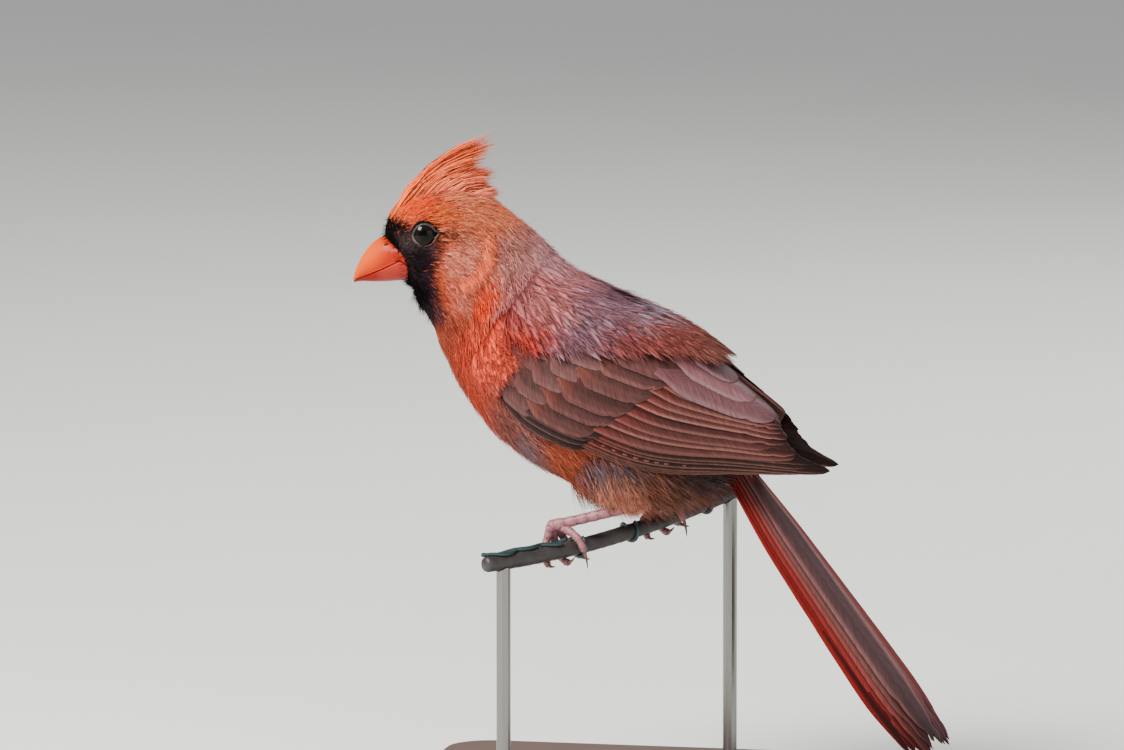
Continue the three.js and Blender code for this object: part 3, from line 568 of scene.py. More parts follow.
# The tree's result for one carrier mesh, as a plain mesh without the modifier
def piece_from_tree(name, carrier, tree, sizes):
    piece = bpy.data.objects.new(name, carrier)
    bpy.context.scene.collection.objects.link(piece)
    modifier = piece.modifiers.new(name, "NODES")
    modifier.node_group = tree
    for item in tree.interface.items_tree:
        if item.name in sizes:
            modifier[item.identifier] = sizes[item.name]
    bpy.context.view_layer.update()
    solid = bpy.data.meshes.new_from_object(piece.evaluated_get(bpy.context.evaluated_depsgraph_get()))
    piece.modifiers.remove(modifier)
    piece.data = solid
    solid.polygons.foreach_set("use_smooth", [True] * len(solid.polygons))
    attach(piece, "root")
    return piece


# A round strand along the carrier's line of points
def strand_tree(material, around):
    tree, sizes = node_tree("strand", {"Radius": MM})
    line = node(tree, "GeometryNodeMeshToCurve", links={"Mesh": (sizes, "Geometry")})
    radius = {"Radius": (sizes, "Radius")}
    profile = node(tree, "GeometryNodeCurvePrimitiveCircle", {"Resolution": around}, radius)
    curves = {"Curve": (line, "Curve"), "Profile Curve": (profile, "Curve")}
    tube = node(tree, "GeometryNodeCurveToMesh", {"Fill Caps": True}, curves)
    return finish_tree(tree, (tube, "Mesh"), material)


# A tapered bristle on every point of the carrier, turned to the point's own heading
def bristle_tree(material):
    tree, sizes = node_tree("bristles", {"Thickness": MM, "Shortest": MM, "Longest": MM, "Seed": 0})
    thickness = {"Radius Bottom": (sizes, "Thickness")}
    shape = {"Vertices": 5, "Radius Top": 0.0, "Depth": 1.0}
    cone = node(tree, "GeometryNodeMeshCone", shape, thickness)
    own = node(tree, "GeometryNodeInputNamedAttribute", {"Name": "heading"}, data_type="FLOAT_VECTOR")
    turn = node(tree, "FunctionNodeAlignRotationToVector", {}, {"Vector": (own, "Attribute")}, axis="Z")
    limits = {"Min": (sizes, "Shortest"), "Max": (sizes, "Longest"), "Seed": (sizes, "Seed")}
    long = node(tree, "FunctionNodeRandomValue", {}, limits, data_type="FLOAT")
    scale = node(tree, "ShaderNodeCombineXYZ", {"X": 1.0, "Y": 1.0}, {"Z": (long, "Value")})
    links = {
        "Points": (sizes, "Geometry"),
        "Instance": (cone, "Mesh"),
        "Rotation": (turn, "Rotation"),
        "Scale": (scale, "Vector"),
    }
    placed = node(tree, "GeometryNodeInstanceOnPoints", {}, links)
    return finish_tree(tree, (placed, "Instances"), material)


BLADE = np.array([[-1, 0], [0, -1], [1, 0], [0, 1]], float)
STRAND = np.array([[-1, 0], [1, 0], [0, 1]], float)


def sweep(centres, across, out, half, thick, section):
    wide = half[..., None, None] * section[None, None, :, 0:1] * across[:, :, None, :]
    deep = thick[..., None, None] * section[None, None, :, 1:2] * out[:, :, None, :]
    return centres[:, :, None, :] + wide + deep


# Curved tufts: each leaves its root along the lie of the coat, lifted, and bends back down
def tuft_paths(roots, along, out, length, lift, curl, stations):
    t = np.linspace(0, 1, stations)[None, :, None]
    forward = along[:, None, :] * (length[:, None, None] * t)
    height = lift[:, None, None] * (t - curl * t**2)
    return roots[:, None, :] + forward + out[:, None, :] * height


# UV map for a later bake: each tuft has a small patch of its own round its place
def tuft_patches(places, section, down):
    return {"OFBake": places[:, None, None] + stacked(0.0015 * section[:, 0], down[:, None])}


PALE_TIP = linear("#DDA08A")


# Many tufts as one piece. lie: directions along and out; sizes: length, width and lift of each
def tufts(name, roots, lie, sizes, tints, places, style):
    along, out = lie
    length, width, lift = sizes
    s = np.linspace(0, 1, style["stations"])
    taper = np.interp(s, *style["taper"])
    centres = tuft_paths(roots, along, out, length, lift, style["curl"], style["stations"])
    heading = unit(np.gradient(centres, axis=1))
    across = unit(np.cross(heading, out[:, None, :]))
    face = unit(np.cross(across, heading))
    half = width[:, None] / 2 * taper
    thick = np.full_like(half, style["thick"]) * (0.3 + 0.7 * taper)
    points = sweep(centres, across, face, half, thick, style["section"])
    t = s[:, None, None]
    shade = style["root_shade"] + (1 - style["root_shade"]) * t**0.6
    pale = style["pale"] * smooth((t - 0.55) / 0.45)
    pale = pale * np.clip(tints.mean(axis=1) / 0.16, 0, 1)[:, None, None, None] ** 1.5
    tint = tints[:, None, None, :] * shade
    tint = tint * (1 - pale) + (tint * 0.5 + PALE_TIP * 0.5) * pale
    patches = tuft_patches(places, style["section"], 0.003 * (s - 0.5))
    add_piece(name, points, PLUMAGE, tint, patches)


def unwrap(at, angle):
    return stacked(0.02 + 0.96 * at / BODY_END, 0.5 + 0.48 * angle / np.pi)


# Roots of tufts, evenly spread over a length of the body, from an angle off its back to the belly
def scatter(count, start, end, low, rng):
    tries = 6 * count
    at = rng.uniform(start, end, tries)
    angle = rng.uniform(low, np.pi, tries) * rng.choice([-1, 1], tries)
    step = 0.02
    long = np.linalg.norm(body_point(at + step, angle) - body_point(at - step, angle), axis=1)
    wide = np.linalg.norm(body_point(at, angle + step) - body_point(at, angle - step), axis=1)
    area = long * wide
    keep = rng.random(tries) < area / area.max()
    return at[keep][:count], angle[keep][:count]


# Rows of feathers like roof tiles
def tiles(start, end, spacing, rng):
    rows = []
    at = start
    odd = 0
    while at < end:
        here = body_point(np.array([at, at + 0.1]), np.array([1.0, 1.0]))
        ring = body_point(np.full(60, at), np.linspace(-np.pi, np.pi, 60))
        girth = np.linalg.norm(np.diff(ring, axis=0), axis=1).sum()
        count = max(6, int(girth / spacing))
        angle = ((np.arange(count) + 0.5 * odd) / count * 2 - 1) * np.pi
        angle = angle[angle != 0]
        rows.append(np.stack([np.full(len(angle), at), angle], axis=1))
        at += 0.72 * spacing / (np.linalg.norm(here[1] - here[0]) / 0.1)
        odd = 1 - odd
    both = np.concatenate(rows)
    both += rng.normal(0, [0.05, 0.035], both.shape)
    return np.clip(both[:, 0], start, end), both[:, 1]


# Skin under the coat, one closed form from the bill's base to the tail's root
COAT_DEPTH = 1.7


def skin_inset(at):
    return -COAT_DEPTH * (0.35 + 0.65 * smooth((at - 1) / 5))


def skin():
    sections = np.linspace(0.02, BODY_END - 0.02, 120)
    angles = np.linspace(-np.pi, np.pi, 72, endpoint=False)
    at, angle = np.meshgrid(sections, angles, indexing="ij")
    grid = (*at.shape, 3)
    at, angle = at.ravel(), angle.ravel()
    points = body_point(at, angle, skin_inset(at)).reshape(grid)
    tint = (body_tint(at, angle) * 0.62).reshape(grid)
    made = add_piece("skin", points, SKIN, tint, {"OFBake": unwrap(at, angle)})
    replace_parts(made, "head", "neck", "torso")


# How long tufts are along the body, by section from the bill
TUFT_LENGTH = ([0, 1.5, 4, 6, 8, 11, 14, 17], [1.7, 2.6, 4.2, 5.6, 7.0, 8.2, 9.2, 10.5])


# Section of the body at which the wing's carrier starts, and the first station that the wing hides
WING_STARTS = 8
HIDDEN_FROM = 1.7


# What the folded wing hides, less a margin in degrees along its upper and lower edge
def under_wing(at, angle):
    station = at - WING_STARTS
    degrees = abs(angle) / DEG
    upper, lower = [np.interp(station, WING_PLATE[:, 0], edge) for edge in WING_PLATE[:, 1:].T]
    return (station > HIDDEN_FROM) & (degrees > upper + 9) & (degrees < lower - 7)


def near_eye(at, angle, reach):
    points = body_point(at, angle, turn=False)
    away = points[:, [0, 2]] - np.array([EYE[0] - 0.5, EYE[2]])
    return np.hypot(away[:, 0] / 1.15, away[:, 1]) < reach


# size: length and width of a tuft as shares of TUFT_LENGTH; lift: its height over the coat's depth
def body_tufts(name, at, angle, rng, size, lift, style):
    keep = ~under_wing(at, angle) & ~near_eye(at, angle, style["eye_clear"])
    at, angle = at[keep], angle[keep]
    count = len(at)
    roots = body_point(at, angle, skin_inset(at))
    along, out = body_lie(at, angle)
    along = swerved(along, out, rng, style["stray"])
    span = np.interp(at, *TUFT_LENGTH)
    length = span * size[0] * rng.uniform(0.8, 1.2, count)
    width = span * size[1] * rng.uniform(0.8, 1.2, count)
    raised = -skin_inset(at) * lift * rng.uniform(0.7, 1.3, count)
    stray = rng.normal(0, style["mixed"], (count, 3))
    tint = streaked(jittered(body_tint(at, angle, stray), rng, style["light"]), rng)
    tufts(name, roots, (along, out), (length, width, raised), tint, unwrap(at, angle), style)


# Feather shapes: section, stations, thickness, shade at the root, paleness at the tip, gap round the eye,
# width along the feather, stray of heading, droop, spread of lightness and of the place a colour is from
VANE_STYLE = {
    "section": BLADE,
    "stations": 5,
    "thick": 0.16,
    "root_shade": 0.4,
    "pale": 0.06,
    "eye_clear": 3.7,
    "taper": ([0, 0.35, 0.7, 1], [0.5, 1, 0.8, 0.1]),
    "stray": 0.14,
    "curl": 0.45,
    "light": 0.13,
    "mixed": 0.3,
}
BARB_STYLE = {
    "section": STRAND,
    "stations": 3,
    "thick": 0.08,
    "root_shade": 0.32,
    "pale": 0.22,
    "eye_clear": 3.35,
    "taper": ([0, 0.4, 0.75, 1], [0.8, 1, 0.7, 0.1]),
    "stray": 0.3,
    "curl": 0.5,
    "light": 0.32,
    "mixed": 0.8,
}
DOWN_STYLE = {**BARB_STYLE, "root_shade": 0.5, "pale": 0.45}

# Lengths of the body that make one coat piece each: name, sections, barbs and their width
REGIONS = [
    ("face", 0.0, 2.6, 10500, 0.066),
    ("crown", 2.6, 5.0, 10500, 0.062),
    ("nape", 5.0, 7.4, 9800, 0.054),
    ("neck", 7.4, 9.6, 8600, 0.048),
    ("breast", 9.6, 12.2, 8500, 0.046),
    ("belly", 12.2, 17.0, 8500, 0.041),
]


def coat():
    rng = np.random.default_rng(7)
    for name, start, end, barbs, fine in REGIONS:
        spacing = 0.42 * float(np.interp((start + end) / 2, *TUFT_LENGTH))
        at, angle = tiles(start, end, spacing, rng)
        body_tufts("coat_" + name, at, angle, rng, (0.95, 0.5), 0.95, VANE_STYLE)
        at, angle = scatter(barbs, start, end, 0.0, rng)
        body_tufts("barbs_" + name, at, angle, rng, (1.05, fine), 1.6, BARB_STYLE)


# Rear edge of the ear coverts: longer pale-tipped feathers that stand off the neck behind them
EAR_EDGE = np.array([[-34.0, 151.5], [-34.2, 147.5], [-35.0, 144.0], [-37.6, 141.0], [-41.0, 139.4]])
EAR_STYLE = {**VANE_STYLE, "thick": 0.1, "root_shade": 0.5, "pale": 0.4, "curl": 0.5}


def ear_edge(side):
    rng = np.random.default_rng(73)
    count = 520
    spot = between(EAR_EDGE, rng.uniform(0, len(EAR_EDGE) - 1, count))
    spot += rng.normal(0, 0.5, spot.shape)
    fit_at, fit_angle = np.meshgrid(np.linspace(1, 8, 141), np.linspace(0.2, 2.9, 140), indexing="ij")
    fit_at, fit_angle = fit_at.ravel(), fit_angle.ravel()
    grid = body_point(fit_at, fit_angle, turn=False)[:, [0, 2]]
    nearest = ((grid[None] - spot[:, None]) ** 2).sum(axis=2).argmin(axis=1)
    at, angle = fit_at[nearest], side * fit_angle[nearest]
    along, out = body_lie(at, angle)
    along = swerved(along, out, rng, 0.22, 0.15 * side)
    tint = jittered(np.tile(linear("#DE6442"), (count, 1)), rng, 0.3)
    sizes = [rng.uniform(*limits, count) for limits in ((3.0, 4.6), (0.15, 0.4), (1.2, 2.2))]
    roots = body_point(at, angle, -0.5)
    tufts(f"ear_edge_{SIDE_NAMES[side]}", roots, (along, out), sizes, tint, unwrap(at, angle), EAR_STYLE)


# Long loose down on the belly, orange-pink over grey, hanging a little
def belly_fluff():
    rng = np.random.default_rng(71)
    at, angle = scatter(5500, 12.6, 16.6, 1.8, rng)
    count = len(at)
    roots = body_point(at, angle, skin_inset(at))
    along, out = body_lie(at, angle)
    heading = unit(along * 0.8 + out * 0.25 - UP * 0.35 + rng.normal(0, 0.2, (count, 3)))
    grey = 0.6 * smooth((wavy(body_point(at, angle, turn=False), 7.0, 19) - 0.4) / 0.4)[:, None]
    tint = body_tint(at, angle, rng.normal(0, 1.0, (count, 3))) * (1 - grey) + linear("#77707A") * grey
    sizes = [rng.uniform(*limits, count) for limits in ((5.0, 10.0), (0.13, 0.3), (1.5, 3.4))]
    style = {**DOWN_STYLE, "stations": 4, "curl": 0.6}
    tint = jittered(tint, rng, 0.3)
    tufts("belly_fluff", roots, (heading, out), sizes, tint, unwrap(at, angle), style)


# Feathers that lie over the wing's edge: their station range, and upper and lower degrees along it
DRAPES = {
    "scapulars": (
        (0.2, 4.9),
        ([0, 1, 3, 4.2, 4.9], [30, 22, 10, 3, 2]),
        ([0, 1.2, 2, 3, 4.2, 4.9], [84, 78, 66, 50, 30, 16]),
    ),
    "wing_front": ((0.1, 1.25), ([0, 1.3], [78, 84]), ([0, 1.3], [122, 116])),
}


def drape(name, side, count, sizes, style, seed):
    rng = np.random.default_rng(seed)
    stations, upper, lower = DRAPES[name]
    station = rng.uniform(*stations, count)
    share = rng.uniform(0, 1, count)
    top, low = np.interp(station, *upper), np.interp(station, *lower)
    degrees = top + (low - top) * share
    roots = carrier_point(station, degrees, side, -0.7)
    along = unit(carrier_point(station + 0.3, degrees + 0.8, side, -0.7) - roots)
    around = carrier_point(station, degrees + 2, side) - carrier_point(station, degrees - 2, side)
    out = unit(np.cross(along, around)) * side
    along = swerved(along, out, rng, style["stray"])
    points = carrier_point(station, degrees, side)
    points = points + rng.normal(0, 2 * style["mixed"], points.shape)
    tint = streaked(jittered(marked_tint(points), rng, style["light"]), rng)
    reach = sizes[0] * rng.uniform(0.75, 1.2, count)
    width = sizes[1] * rng.uniform(0.7, 1.3, count)
    lift = (2.6 + 3.5 * smooth(share / 0.5)) * rng.uniform(0.92, 1.08, count)
    places = unwrap(station + WING_STARTS, side * degrees * DEG)
    full_name = f"{name}_{SIDE_NAMES[side]}_{seed}"
    tufts(full_name, roots, (along, out), (reach, width, lift), tint, places, {**style, "curl": 0.5})


def drapes():
    for side in (LEFT, RIGHT):
        drape("scapulars", side, 620, (10.0, 2.0), VANE_STYLE, 81)
        drape("scapulars", side, 6200, (9.5, 0.24), BARB_STYLE, 82)
        drape("wing_front", side, 150, (6.0, 2.0), VANE_STYLE, 83)
        drape("wing_front", side, 2200, (6.4, 0.22), BARB_STYLE, 84)


# How far out the crest's feathers reach, so that it ends in three ragged lobes
CREST_LOBES = ([0, 0.12, 0.34, 0.5, 0.62, 0.72, 0.84, 0.9, 1], [0.9, 1, 1, 0.76, 0.96, 1.0, 0.78, 0.98, 0.8])
CREST_FRONT = linear("#F2662E")
CREST_REAR = linear("#EC8062")
CREST_DARK = linear("#7A2A1A")


def crest_strands(name, count, width, thick, reach_range, loose, seed, stations):
    rng = np.random.default_rng(seed)
    t = rng.uniform(0, 1, count)
    place = rng.uniform(-1, 1, count)
    shift = place * 3.6
    reach = rng.uniform(*reach_range, count) * (1 - 0.1 * abs(place)) * np.interp(t, *CREST_LOBES)
    s = np.linspace(-0.1, 1, stations)
    centres = np.stack([crest_point(t, np.full(count, v), shift, reach) for v in s], axis=1)
    drop = 1.1 * place**2
    centres[:, :, 2] -= drop[:, None] * (1 - 0.4 * s)[None, :]
    centres += rng.normal(0, loose, (count, 1, 3)) * (s * abs(s))[None, :, None]
    heading = unit(np.gradient(centres, axis=1))
    level = unit(np.cross(heading, UP))
    tilt = -place[:, None, None] * 1.1
    over = np.cross(level, heading)
    across = level * np.cos(tilt) + over * np.sin(tilt)
    face = np.cross(across, heading)
    taper = np.interp(s, [-0.1, 0.2, 0.6, 0.85, 1], [0.6, 1, 0.85, 0.5, 0.08])
    half = width / 2 * rng.uniform(0.7, 1.3, (count, 1)) * taper
    points = sweep(centres, across, face, half, thick * np.ones_like(half) * taper, BLADE)
    tint = CREST_FRONT * (1 - t[:, None]) + CREST_REAR * t[:, None]
    streak = (rng.random(count) < 0.2)[:, None]
    tint = jittered(np.where(streak, CREST_DARK, tint), rng, 0.24)
    shade = np.interp(s, [-0.1, 0.3, 0.75, 1], [0.6, 0.95, 1.0, 1.15])
    where = stacked(0.06 + 0.22 * t, 0.5 + 0.06 * place)
    tint = tint[:, None, None, :] * shade[:, None, None]
    add_piece(name, points, PLUMAGE, tint, tuft_patches(where, BLADE, 0.0014 * s))


# Locks over a wedge of closer ones, then loose barbs over them
def crest():
    crest_strands("crest_locks", 820, 0.62, 0.16, (0.4, 1.0), 0.45, 21, 6)
    crest_strands("crest_barbs", 2600, 0.32, 0.1, (0.3, 1.08), 0.8, 22, 5)


# Points of a ball, in rings about Y, and each one's angle from that axis
def ball_rings(rings, around):
    tilt = np.linspace(0.02, np.pi - 0.02, rings)
    turn = np.linspace(0, 2 * np.pi, around, endpoint=False)
    tilt, turn = np.meshgrid(tilt, turn, indexing="ij")
    return tilt, stacked(np.sin(tilt) * np.cos(turn), -np.cos(tilt), np.sin(tilt) * np.sin(turn))


# Eyes: a ball whose colour changes from pupil to iris by its angle from the eye's axis
EYE_STOPS = [0, 0.33, 0.37, 0.58, 0.66, 0.8, 1.2]
EYE_SHADES = ["#030303", "#030303", "#0E0807", "#190F0C", "#0A0707", "#0D0A0A", "#0D0A0A"]


def eyeball(name, side):
    tilt, ball = ball_rings(64, 48)
    points = ball * [1, -side, 1] * EYE_RADIUS + np.array([EYE[0], side * EYE[1], EYE[2]])
    shades = np.array([linear(code) for code in EYE_SHADES])
    tint = stacked(*[np.interp(tilt, EYE_STOPS, channel) for channel in shades.T])
    piece = add_piece(name, turned(points), CORNEA, tint, flip=side > 0)
    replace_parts(piece, name)


# Bare lids: a wrinkled ring, paler brown along the lower edge and drawn out to a corner behind
LID_RADIUS = 2.95


def lids(name, side):
    around, ring = 72, 10
    turn = np.linspace(0, 2 * np.pi, around, endpoint=False)
    roll = np.linspace(0, 2 * np.pi, ring, endpoint=False)
    turn, roll = np.meshgrid(turn, roll, indexing="ij")
    corner = np.exp(-((np.angle(np.exp(1j * (turn - 0.1))) / 0.2) ** 2))
    front = np.exp(-((np.angle(np.exp(1j * (turn - 3.3))) / 0.3) ** 2))
    wrinkle = 0.05 * np.sin(turn * 18 + 2 * np.sin(turn * 5))
    thick = 0.36 + wrinkle + 0.05 * np.sin(turn * 2)
    radius = LID_RADIUS + 0.85 * corner + 0.15 * front
    x = (radius + thick * np.cos(roll)) * np.cos(turn)
    z = (radius + thick * np.cos(roll)) * np.sin(turn) * 0.97
    deep = math.sqrt(EYE_RADIUS**2 - LID_RADIUS**2)
    y = deep - 0.02 + 0.9 * thick * np.sin(roll) - 0.55 * corner - 0.3 * front
    points = stacked(EYE[0] + x, side * (EYE[1] + y), EYE[2] + z)
    low = (smooth((-np.sin(turn) + 0.25) / 0.7) * smooth((np.sin(roll) + 0.1) / 0.5))[..., None]
    tint = linear("#2A2020") * (1 - low) + linear("#5E4A42") * low
    faces = []
    for i in range(around):
        here, then = i * ring, (i + 1) % around * ring
        for j in range(ring):
            k = (j + 1) % ring
            faces.append([here + j, then + j, then + k, here + k])
    add_piece(name, turned(points), SCALES, tint, faces=faces, flip=side < 0)


# Bill: each half is a ring from its ridge to the line of the mouth, closed across inside
def mouth_angle(at):
    row = between(BILL, at)
    split = np.full(len(at), 0.5)
    for _ in range(12):
        x = row[:, 0] + (row[:, 2] - row[:, 0]) * split
        z = np.interp(x, MOUTH[:, 0], MOUTH[:, 1])
        split = np.clip((row[:, 1] - z) / np.maximum(row[:, 1] - row[:, 3], 1e-6), 0.12, 0.93)
    return np.arccos(1 - 2 * split)


# Base colour of the whole half and the second colour that is laid over part of it. On the upper half the
# paler orange along the ridge towards the tip is partly the bill's own colour and partly painted light
BILL_COLOURS = {True: ("#9C1A02", "#DC4E00"), False: ("#920E02", "#AC2C20")}


def half_bill(name, upper):
    at = np.linspace(0, len(BILL) - 1, 56)
    split = mouth_angle(at)
    share = np.linspace(-1, 1, 30)
    points = []
    for turn in share:
        angle = split * turn if upper else np.pi + (np.pi - split) * turn
        points.append(section_point(between(BILL, at), angle, 0.0))
    outer = np.stack(points, axis=1)
    inner = outer[:, ::-1][:, 1:-1].copy()
    edge = (outer[:, :1] + outer[:, -1:]) / 2
    inner = edge + (inner - edge) * np.array([0.0, 1.0, 0.0])
    inner[..., 2] += 0.22 if upper else -0.22
    outer[..., 2] += (0.11 if upper else -0.11) * np.abs(share)[None, :] ** 3
    ring = np.concatenate([outer, inner], axis=1)
    reach = smooth((ring[..., 0] + 68.5) / 12)
    ridge = 1 - abs(np.concatenate([share, np.ones(len(share) - 2)]))[None, :]
    base, second = [linear(code) for code in BILL_COLOURS[upper]]
    if upper:
        # Partly painted light: paler along the top of the ridge, most towards the tip
        over = smooth(1.3 * ridge + 0.2) * smooth(1.2 - reach)
    else:
        over = smooth((reach - 0.35) / 0.4) * smooth((0.75 - ridge) / 0.5)
    tint = base * (1 - over[..., None]) + second * over[..., None]
    piece = add_piece(name, turned(ring), HORN, tint, flip=upper)
    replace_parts(piece, name)


# Several swept parts as one mesh: points, faces and tints
def joined(parts):
    points, tints, faces, start = [], [], [], 0
    for part, tint in parts:
        stations, around, _ = part.shape
        points.append(part.reshape(-1, 3))
        tints.append(np.broadcast_to(tint, part.shape).reshape(-1, 3))
        faces += [[v + start for v in face] for face in ring_faces(1, stations, around)]
        start += stations * around
    return np.concatenate(points), faces, np.concatenate(tints)


def nostrils():
    ball = ball_rings(10, 14)[1] * [0.75, 0.42, 0.45]
    ovals = []
    for side in (LEFT, RIGHT):
        centre = np.array([NOSTRIL[0], side * (NOSTRIL[1] + 0.25), NOSTRIL[2]])
        ovals.append((turned(ball + centre), linear("#2A0E0A")))
    points, faces, tint = joined(ovals)
    add_piece("nostrils", points, HORN, tint, faces=faces)


BRISTLE_THICKNESS = 0.09


# Stiff black bristles on the coat, each with its own heading
def bristle_patch(name, at, angle, heading, tree, shortest, longest):
    carrier = bpy.data.meshes.new(name + "_roots")
    carrier.from_pydata((body_point(at, angle, -0.6) * MM).tolist(), [], [])
    carrier.attributes.new("heading", "FLOAT_VECTOR", "POINT").data.foreach_set(
        "vector", heading.astype(np.float32).ravel()
    )
    sizes = {"Thickness": BRISTLE_THICKNESS * MM, "Shortest": shortest * MM, "Longest": longest * MM}
    sizes["Seed"] = 31
    piece = piece_from_tree(name, carrier, tree, sizes)
    mesh = piece.data
    tint = mesh.color_attributes.new("tint", "FLOAT_COLOR", "POINT")
    tint.data.foreach_set("color", np.tile([*MASK_BLACK, 1.0], len(mesh.vertices)))
    sheet = mesh.uv_layers.new(name="OFBake")
    corners = len(mesh.loops) // len(at)
    sheet.data.foreach_set("uv", np.repeat(unwrap(at, angle), corners, axis=0).astype(np.float32).ravel())


# Short bristles that stand round the bill, and longer hair-like ones that hang from the bib over its
# edge. The hairs stand only where the coat's colour, summed over its channels, is below BIB_DARK
BRISTLES = 520
BIB_HAIR_TRIES = 9000
BIB_HAIRS = 1300
BIB_DARK = 0.13


def bristles():
    rng = np.random.default_rng(31)
    tree = bristle_tree(PLUMAGE)
    at = rng.uniform(0.05, 1.1, BRISTLES)
    angle = rng.uniform(0.15, np.pi, BRISTLES) * rng.choice([-1, 1], BRISTLES)
    along, out = body_lie(at, angle)
    forward = rng.uniform(-1.0, -0.2, (BRISTLES, 1))
    heading = unit(along * forward + out * 0.9 + rng.normal(0, 0.2, (BRISTLES, 3)))
    bristle_patch("bristles", at, angle, heading, tree, 1.4, 3.2)
    at = rng.uniform(0.9, 4.2, BIB_HAIR_TRIES)
    angle = rng.uniform(1.5, np.pi, BIB_HAIR_TRIES) * rng.choice([-1, 1], BIB_HAIR_TRIES)
    dark = body_tint(at, angle).sum(axis=1) < BIB_DARK
    at, angle = at[dark][:BIB_HAIRS], angle[dark][:BIB_HAIRS]
    along, out = body_lie(at, angle)
    heading = unit(along + out * 0.42 + rng.normal(0, 0.22, (len(at), 3)))
    bristle_patch("bib_hairs", at, angle, heading, tree, 2.4, 5.0)


# Flight feathers. Each tier: how many, its first and last feather's roots and tips on the carrier (station,
# degrees), bulge, width, height, colours of the web, of its lower edge and of its root, how square its tip
# is, and which share of its lower half isn't covered
TIERS = {
    "primaries": (
        9, ((2.7, 117), (3.6, 101)), ((9.9, 92), (9.9, 66)), 0.75, 6.2, 0.16,
        ("#38201C", "#7A544A", "#7A2018"), 0.4, 0.34,
    ),
    "secondaries": (
        8, ((3.2, 101), (4.4, 56)), ((9.75, 68), (8.7, 30)), 0.0, 7.6, 0.5,
        ("#58302C", "#8C5A52", "#7E2A22"), 0.55, 0.58,
    ),
    "tertials": (
        3, ((4.5, 50), (4.9, 22)), ((8.6, 30), (6.8, 15)), 0.0, 9.6, 1.0,
        ("#7E5458", "#A07A80", "#6E4244"), 0.8, 0.9,
    ),
    "primary_coverts": (
        4, ((1.9, 117), (2.2, 104)), ((4.5, 115), (4.7, 101)), 0.0, 6.4, 0.9,
        ("#3A2624", "#5A3C38", "#4A2A26"), 0.7, 0.5,
    ),
    "greater_coverts": (
        6, ((2.3, 101), (3.3, 50)), ((4.6, 98), (5.4, 40)), 0.0, 12.5, 1.2,
        ("#5A3633", "#714A46", "#74342A"), 1.0, 0.62,
    ),
    "median_coverts": (
        6, ((1.6, 105), (2.6, 54)), ((3.0, 106), (3.9, 48)), 0.0, 10.5, 1.45,
        ("#64403E", "#7A5552", "#64352F"), 1.0, 0.7,
    ),
    "lesser_coverts": (
        7, ((1.2, 101), (1.9, 62)), ((2.2, 106), (2.8, 56)), 0.0, 8.4, 1.6,
        ("#683C3A", "#784A46", "#602C26"), 1.0, 0.8,
    ),
    # Shoulder coverts: their near-black root colour is painted shadow, the dark gap under the feathers that
    # hang over the wing's front edge
    "shoulder_coverts": (
        8, ((0.95, 98), (1.5, 70)), ((1.6, 106), (2.2, 62)), 0.0, 6.4, 1.7,
        ("#6E3632", "#7E443E", "#3E1E1A"), 1.0, 0.8,
    ),
}
# Places across a web, closest together towards the lower edge, which is the part that shows
WEB_COLUMNS = np.array([-1, -0.5, 0, 0.35, 0.55, 0.7, 0.82, 0.9, 0.96, 1])
WEB_TOP = WEB_COLUMNS[::-1]
WEB_LOW = WEB_COLUMNS[1:-1]
# The ring round a web: its places across and their heights, and the stations from root to tip
WEB_RING = np.concatenate([WEB_TOP, WEB_LOW])
WEB_HEIGHTS = np.concatenate([(1 - 0.7 * abs(WEB_TOP)) * (abs(WEB_TOP) < 1), 0.7 * abs(WEB_LOW) - 1])
WEB_LENGTHS = 1 - (1 - np.linspace(0, 1, 34)) ** 1.35
WEB_DEPTH = 0.74


def blade_outline(square):
    rise = 0.38 + 0.62 * smooth(WEB_LENGTHS / 0.35)
    fall = np.clip(1 - WEB_LENGTHS ** (4 + 5 * square), 0, 1) ** (0.62 - 0.17 * square)
    return np.maximum(rise * fall, 0.04)


# Worn notches along the edges, most of them towards the tip
def worn_edge(rng, depth):
    notch = np.zeros_like(WEB_LENGTHS)
    for _ in range(rng.integers(3, 7)):
        centre = 1 - 0.5 * rng.random() ** 1.8
        notch += rng.uniform(0.3, 1) * np.maximum(0, 1 - abs(WEB_LENGTHS - centre) / 0.022)
    return 1 - depth * np.clip(notch, 0, 1) * (0.06 + 0.94 * smooth((WEB_LENGTHS - 0.72) / 0.28))


# Strength of the pale rim, and of the shade under the next feather: most on webs of which little shows
def web_contrast(shown):
    if shown <= 0.6:
        return 0.8, 0.62
    return 0.45, 0.42 if shown <= 0.85 else 0.2


# Colour across a web: pale rim along the lower edge, and shade where the next feather lies over it
def web_tint(u, codes, shown, rng):
    t = WEB_LENGTHS
    web, edge, root = [WEB_DEPTH * linear(code) * math.exp(rng.normal(0, 0.16)) for code in codes]
    # Root colour of each tier; on the shoulder coverts it is painted shadow
    at_root = 0.6 * smooth((0.45 - t) / 0.35)[:, None, None]
    tint = web * (1 - at_root) + root * at_root
    rim_strength, shade = web_contrast(shown)
    rim = (smooth((u - 1 + 0.42 * shown) / (0.2 * shown))[None, :] * smooth(t / 0.2)[:, None])[..., None]
    tint = tint * (1 - rim_strength * rim) + edge * rim_strength * rim
    covered = smooth((1 - 0.62 * shown - u) / (0.5 * shown))[None, :, None]
    tint = tint * (1 - shade * covered)
    tip = smooth((t - 0.88) / 0.12)[:, None, None]
    return tint * (1 - 0.2 * tip)


# Millimetres across and along each web, for the pattern of its barbs
def web_place(half_width, along):
    return stacked(WEB_RING * half_width, along)


# UV map for a later bake: a strip of its own for each web, side by side on a sheet of their own
def web_sheet(count):
    across = (np.arange(count)[:, None, None] + 0.5 + 0.42 * WEB_RING) / count
    return stacked(across, 0.02 + 0.96 * WEB_LENGTHS[:, None])


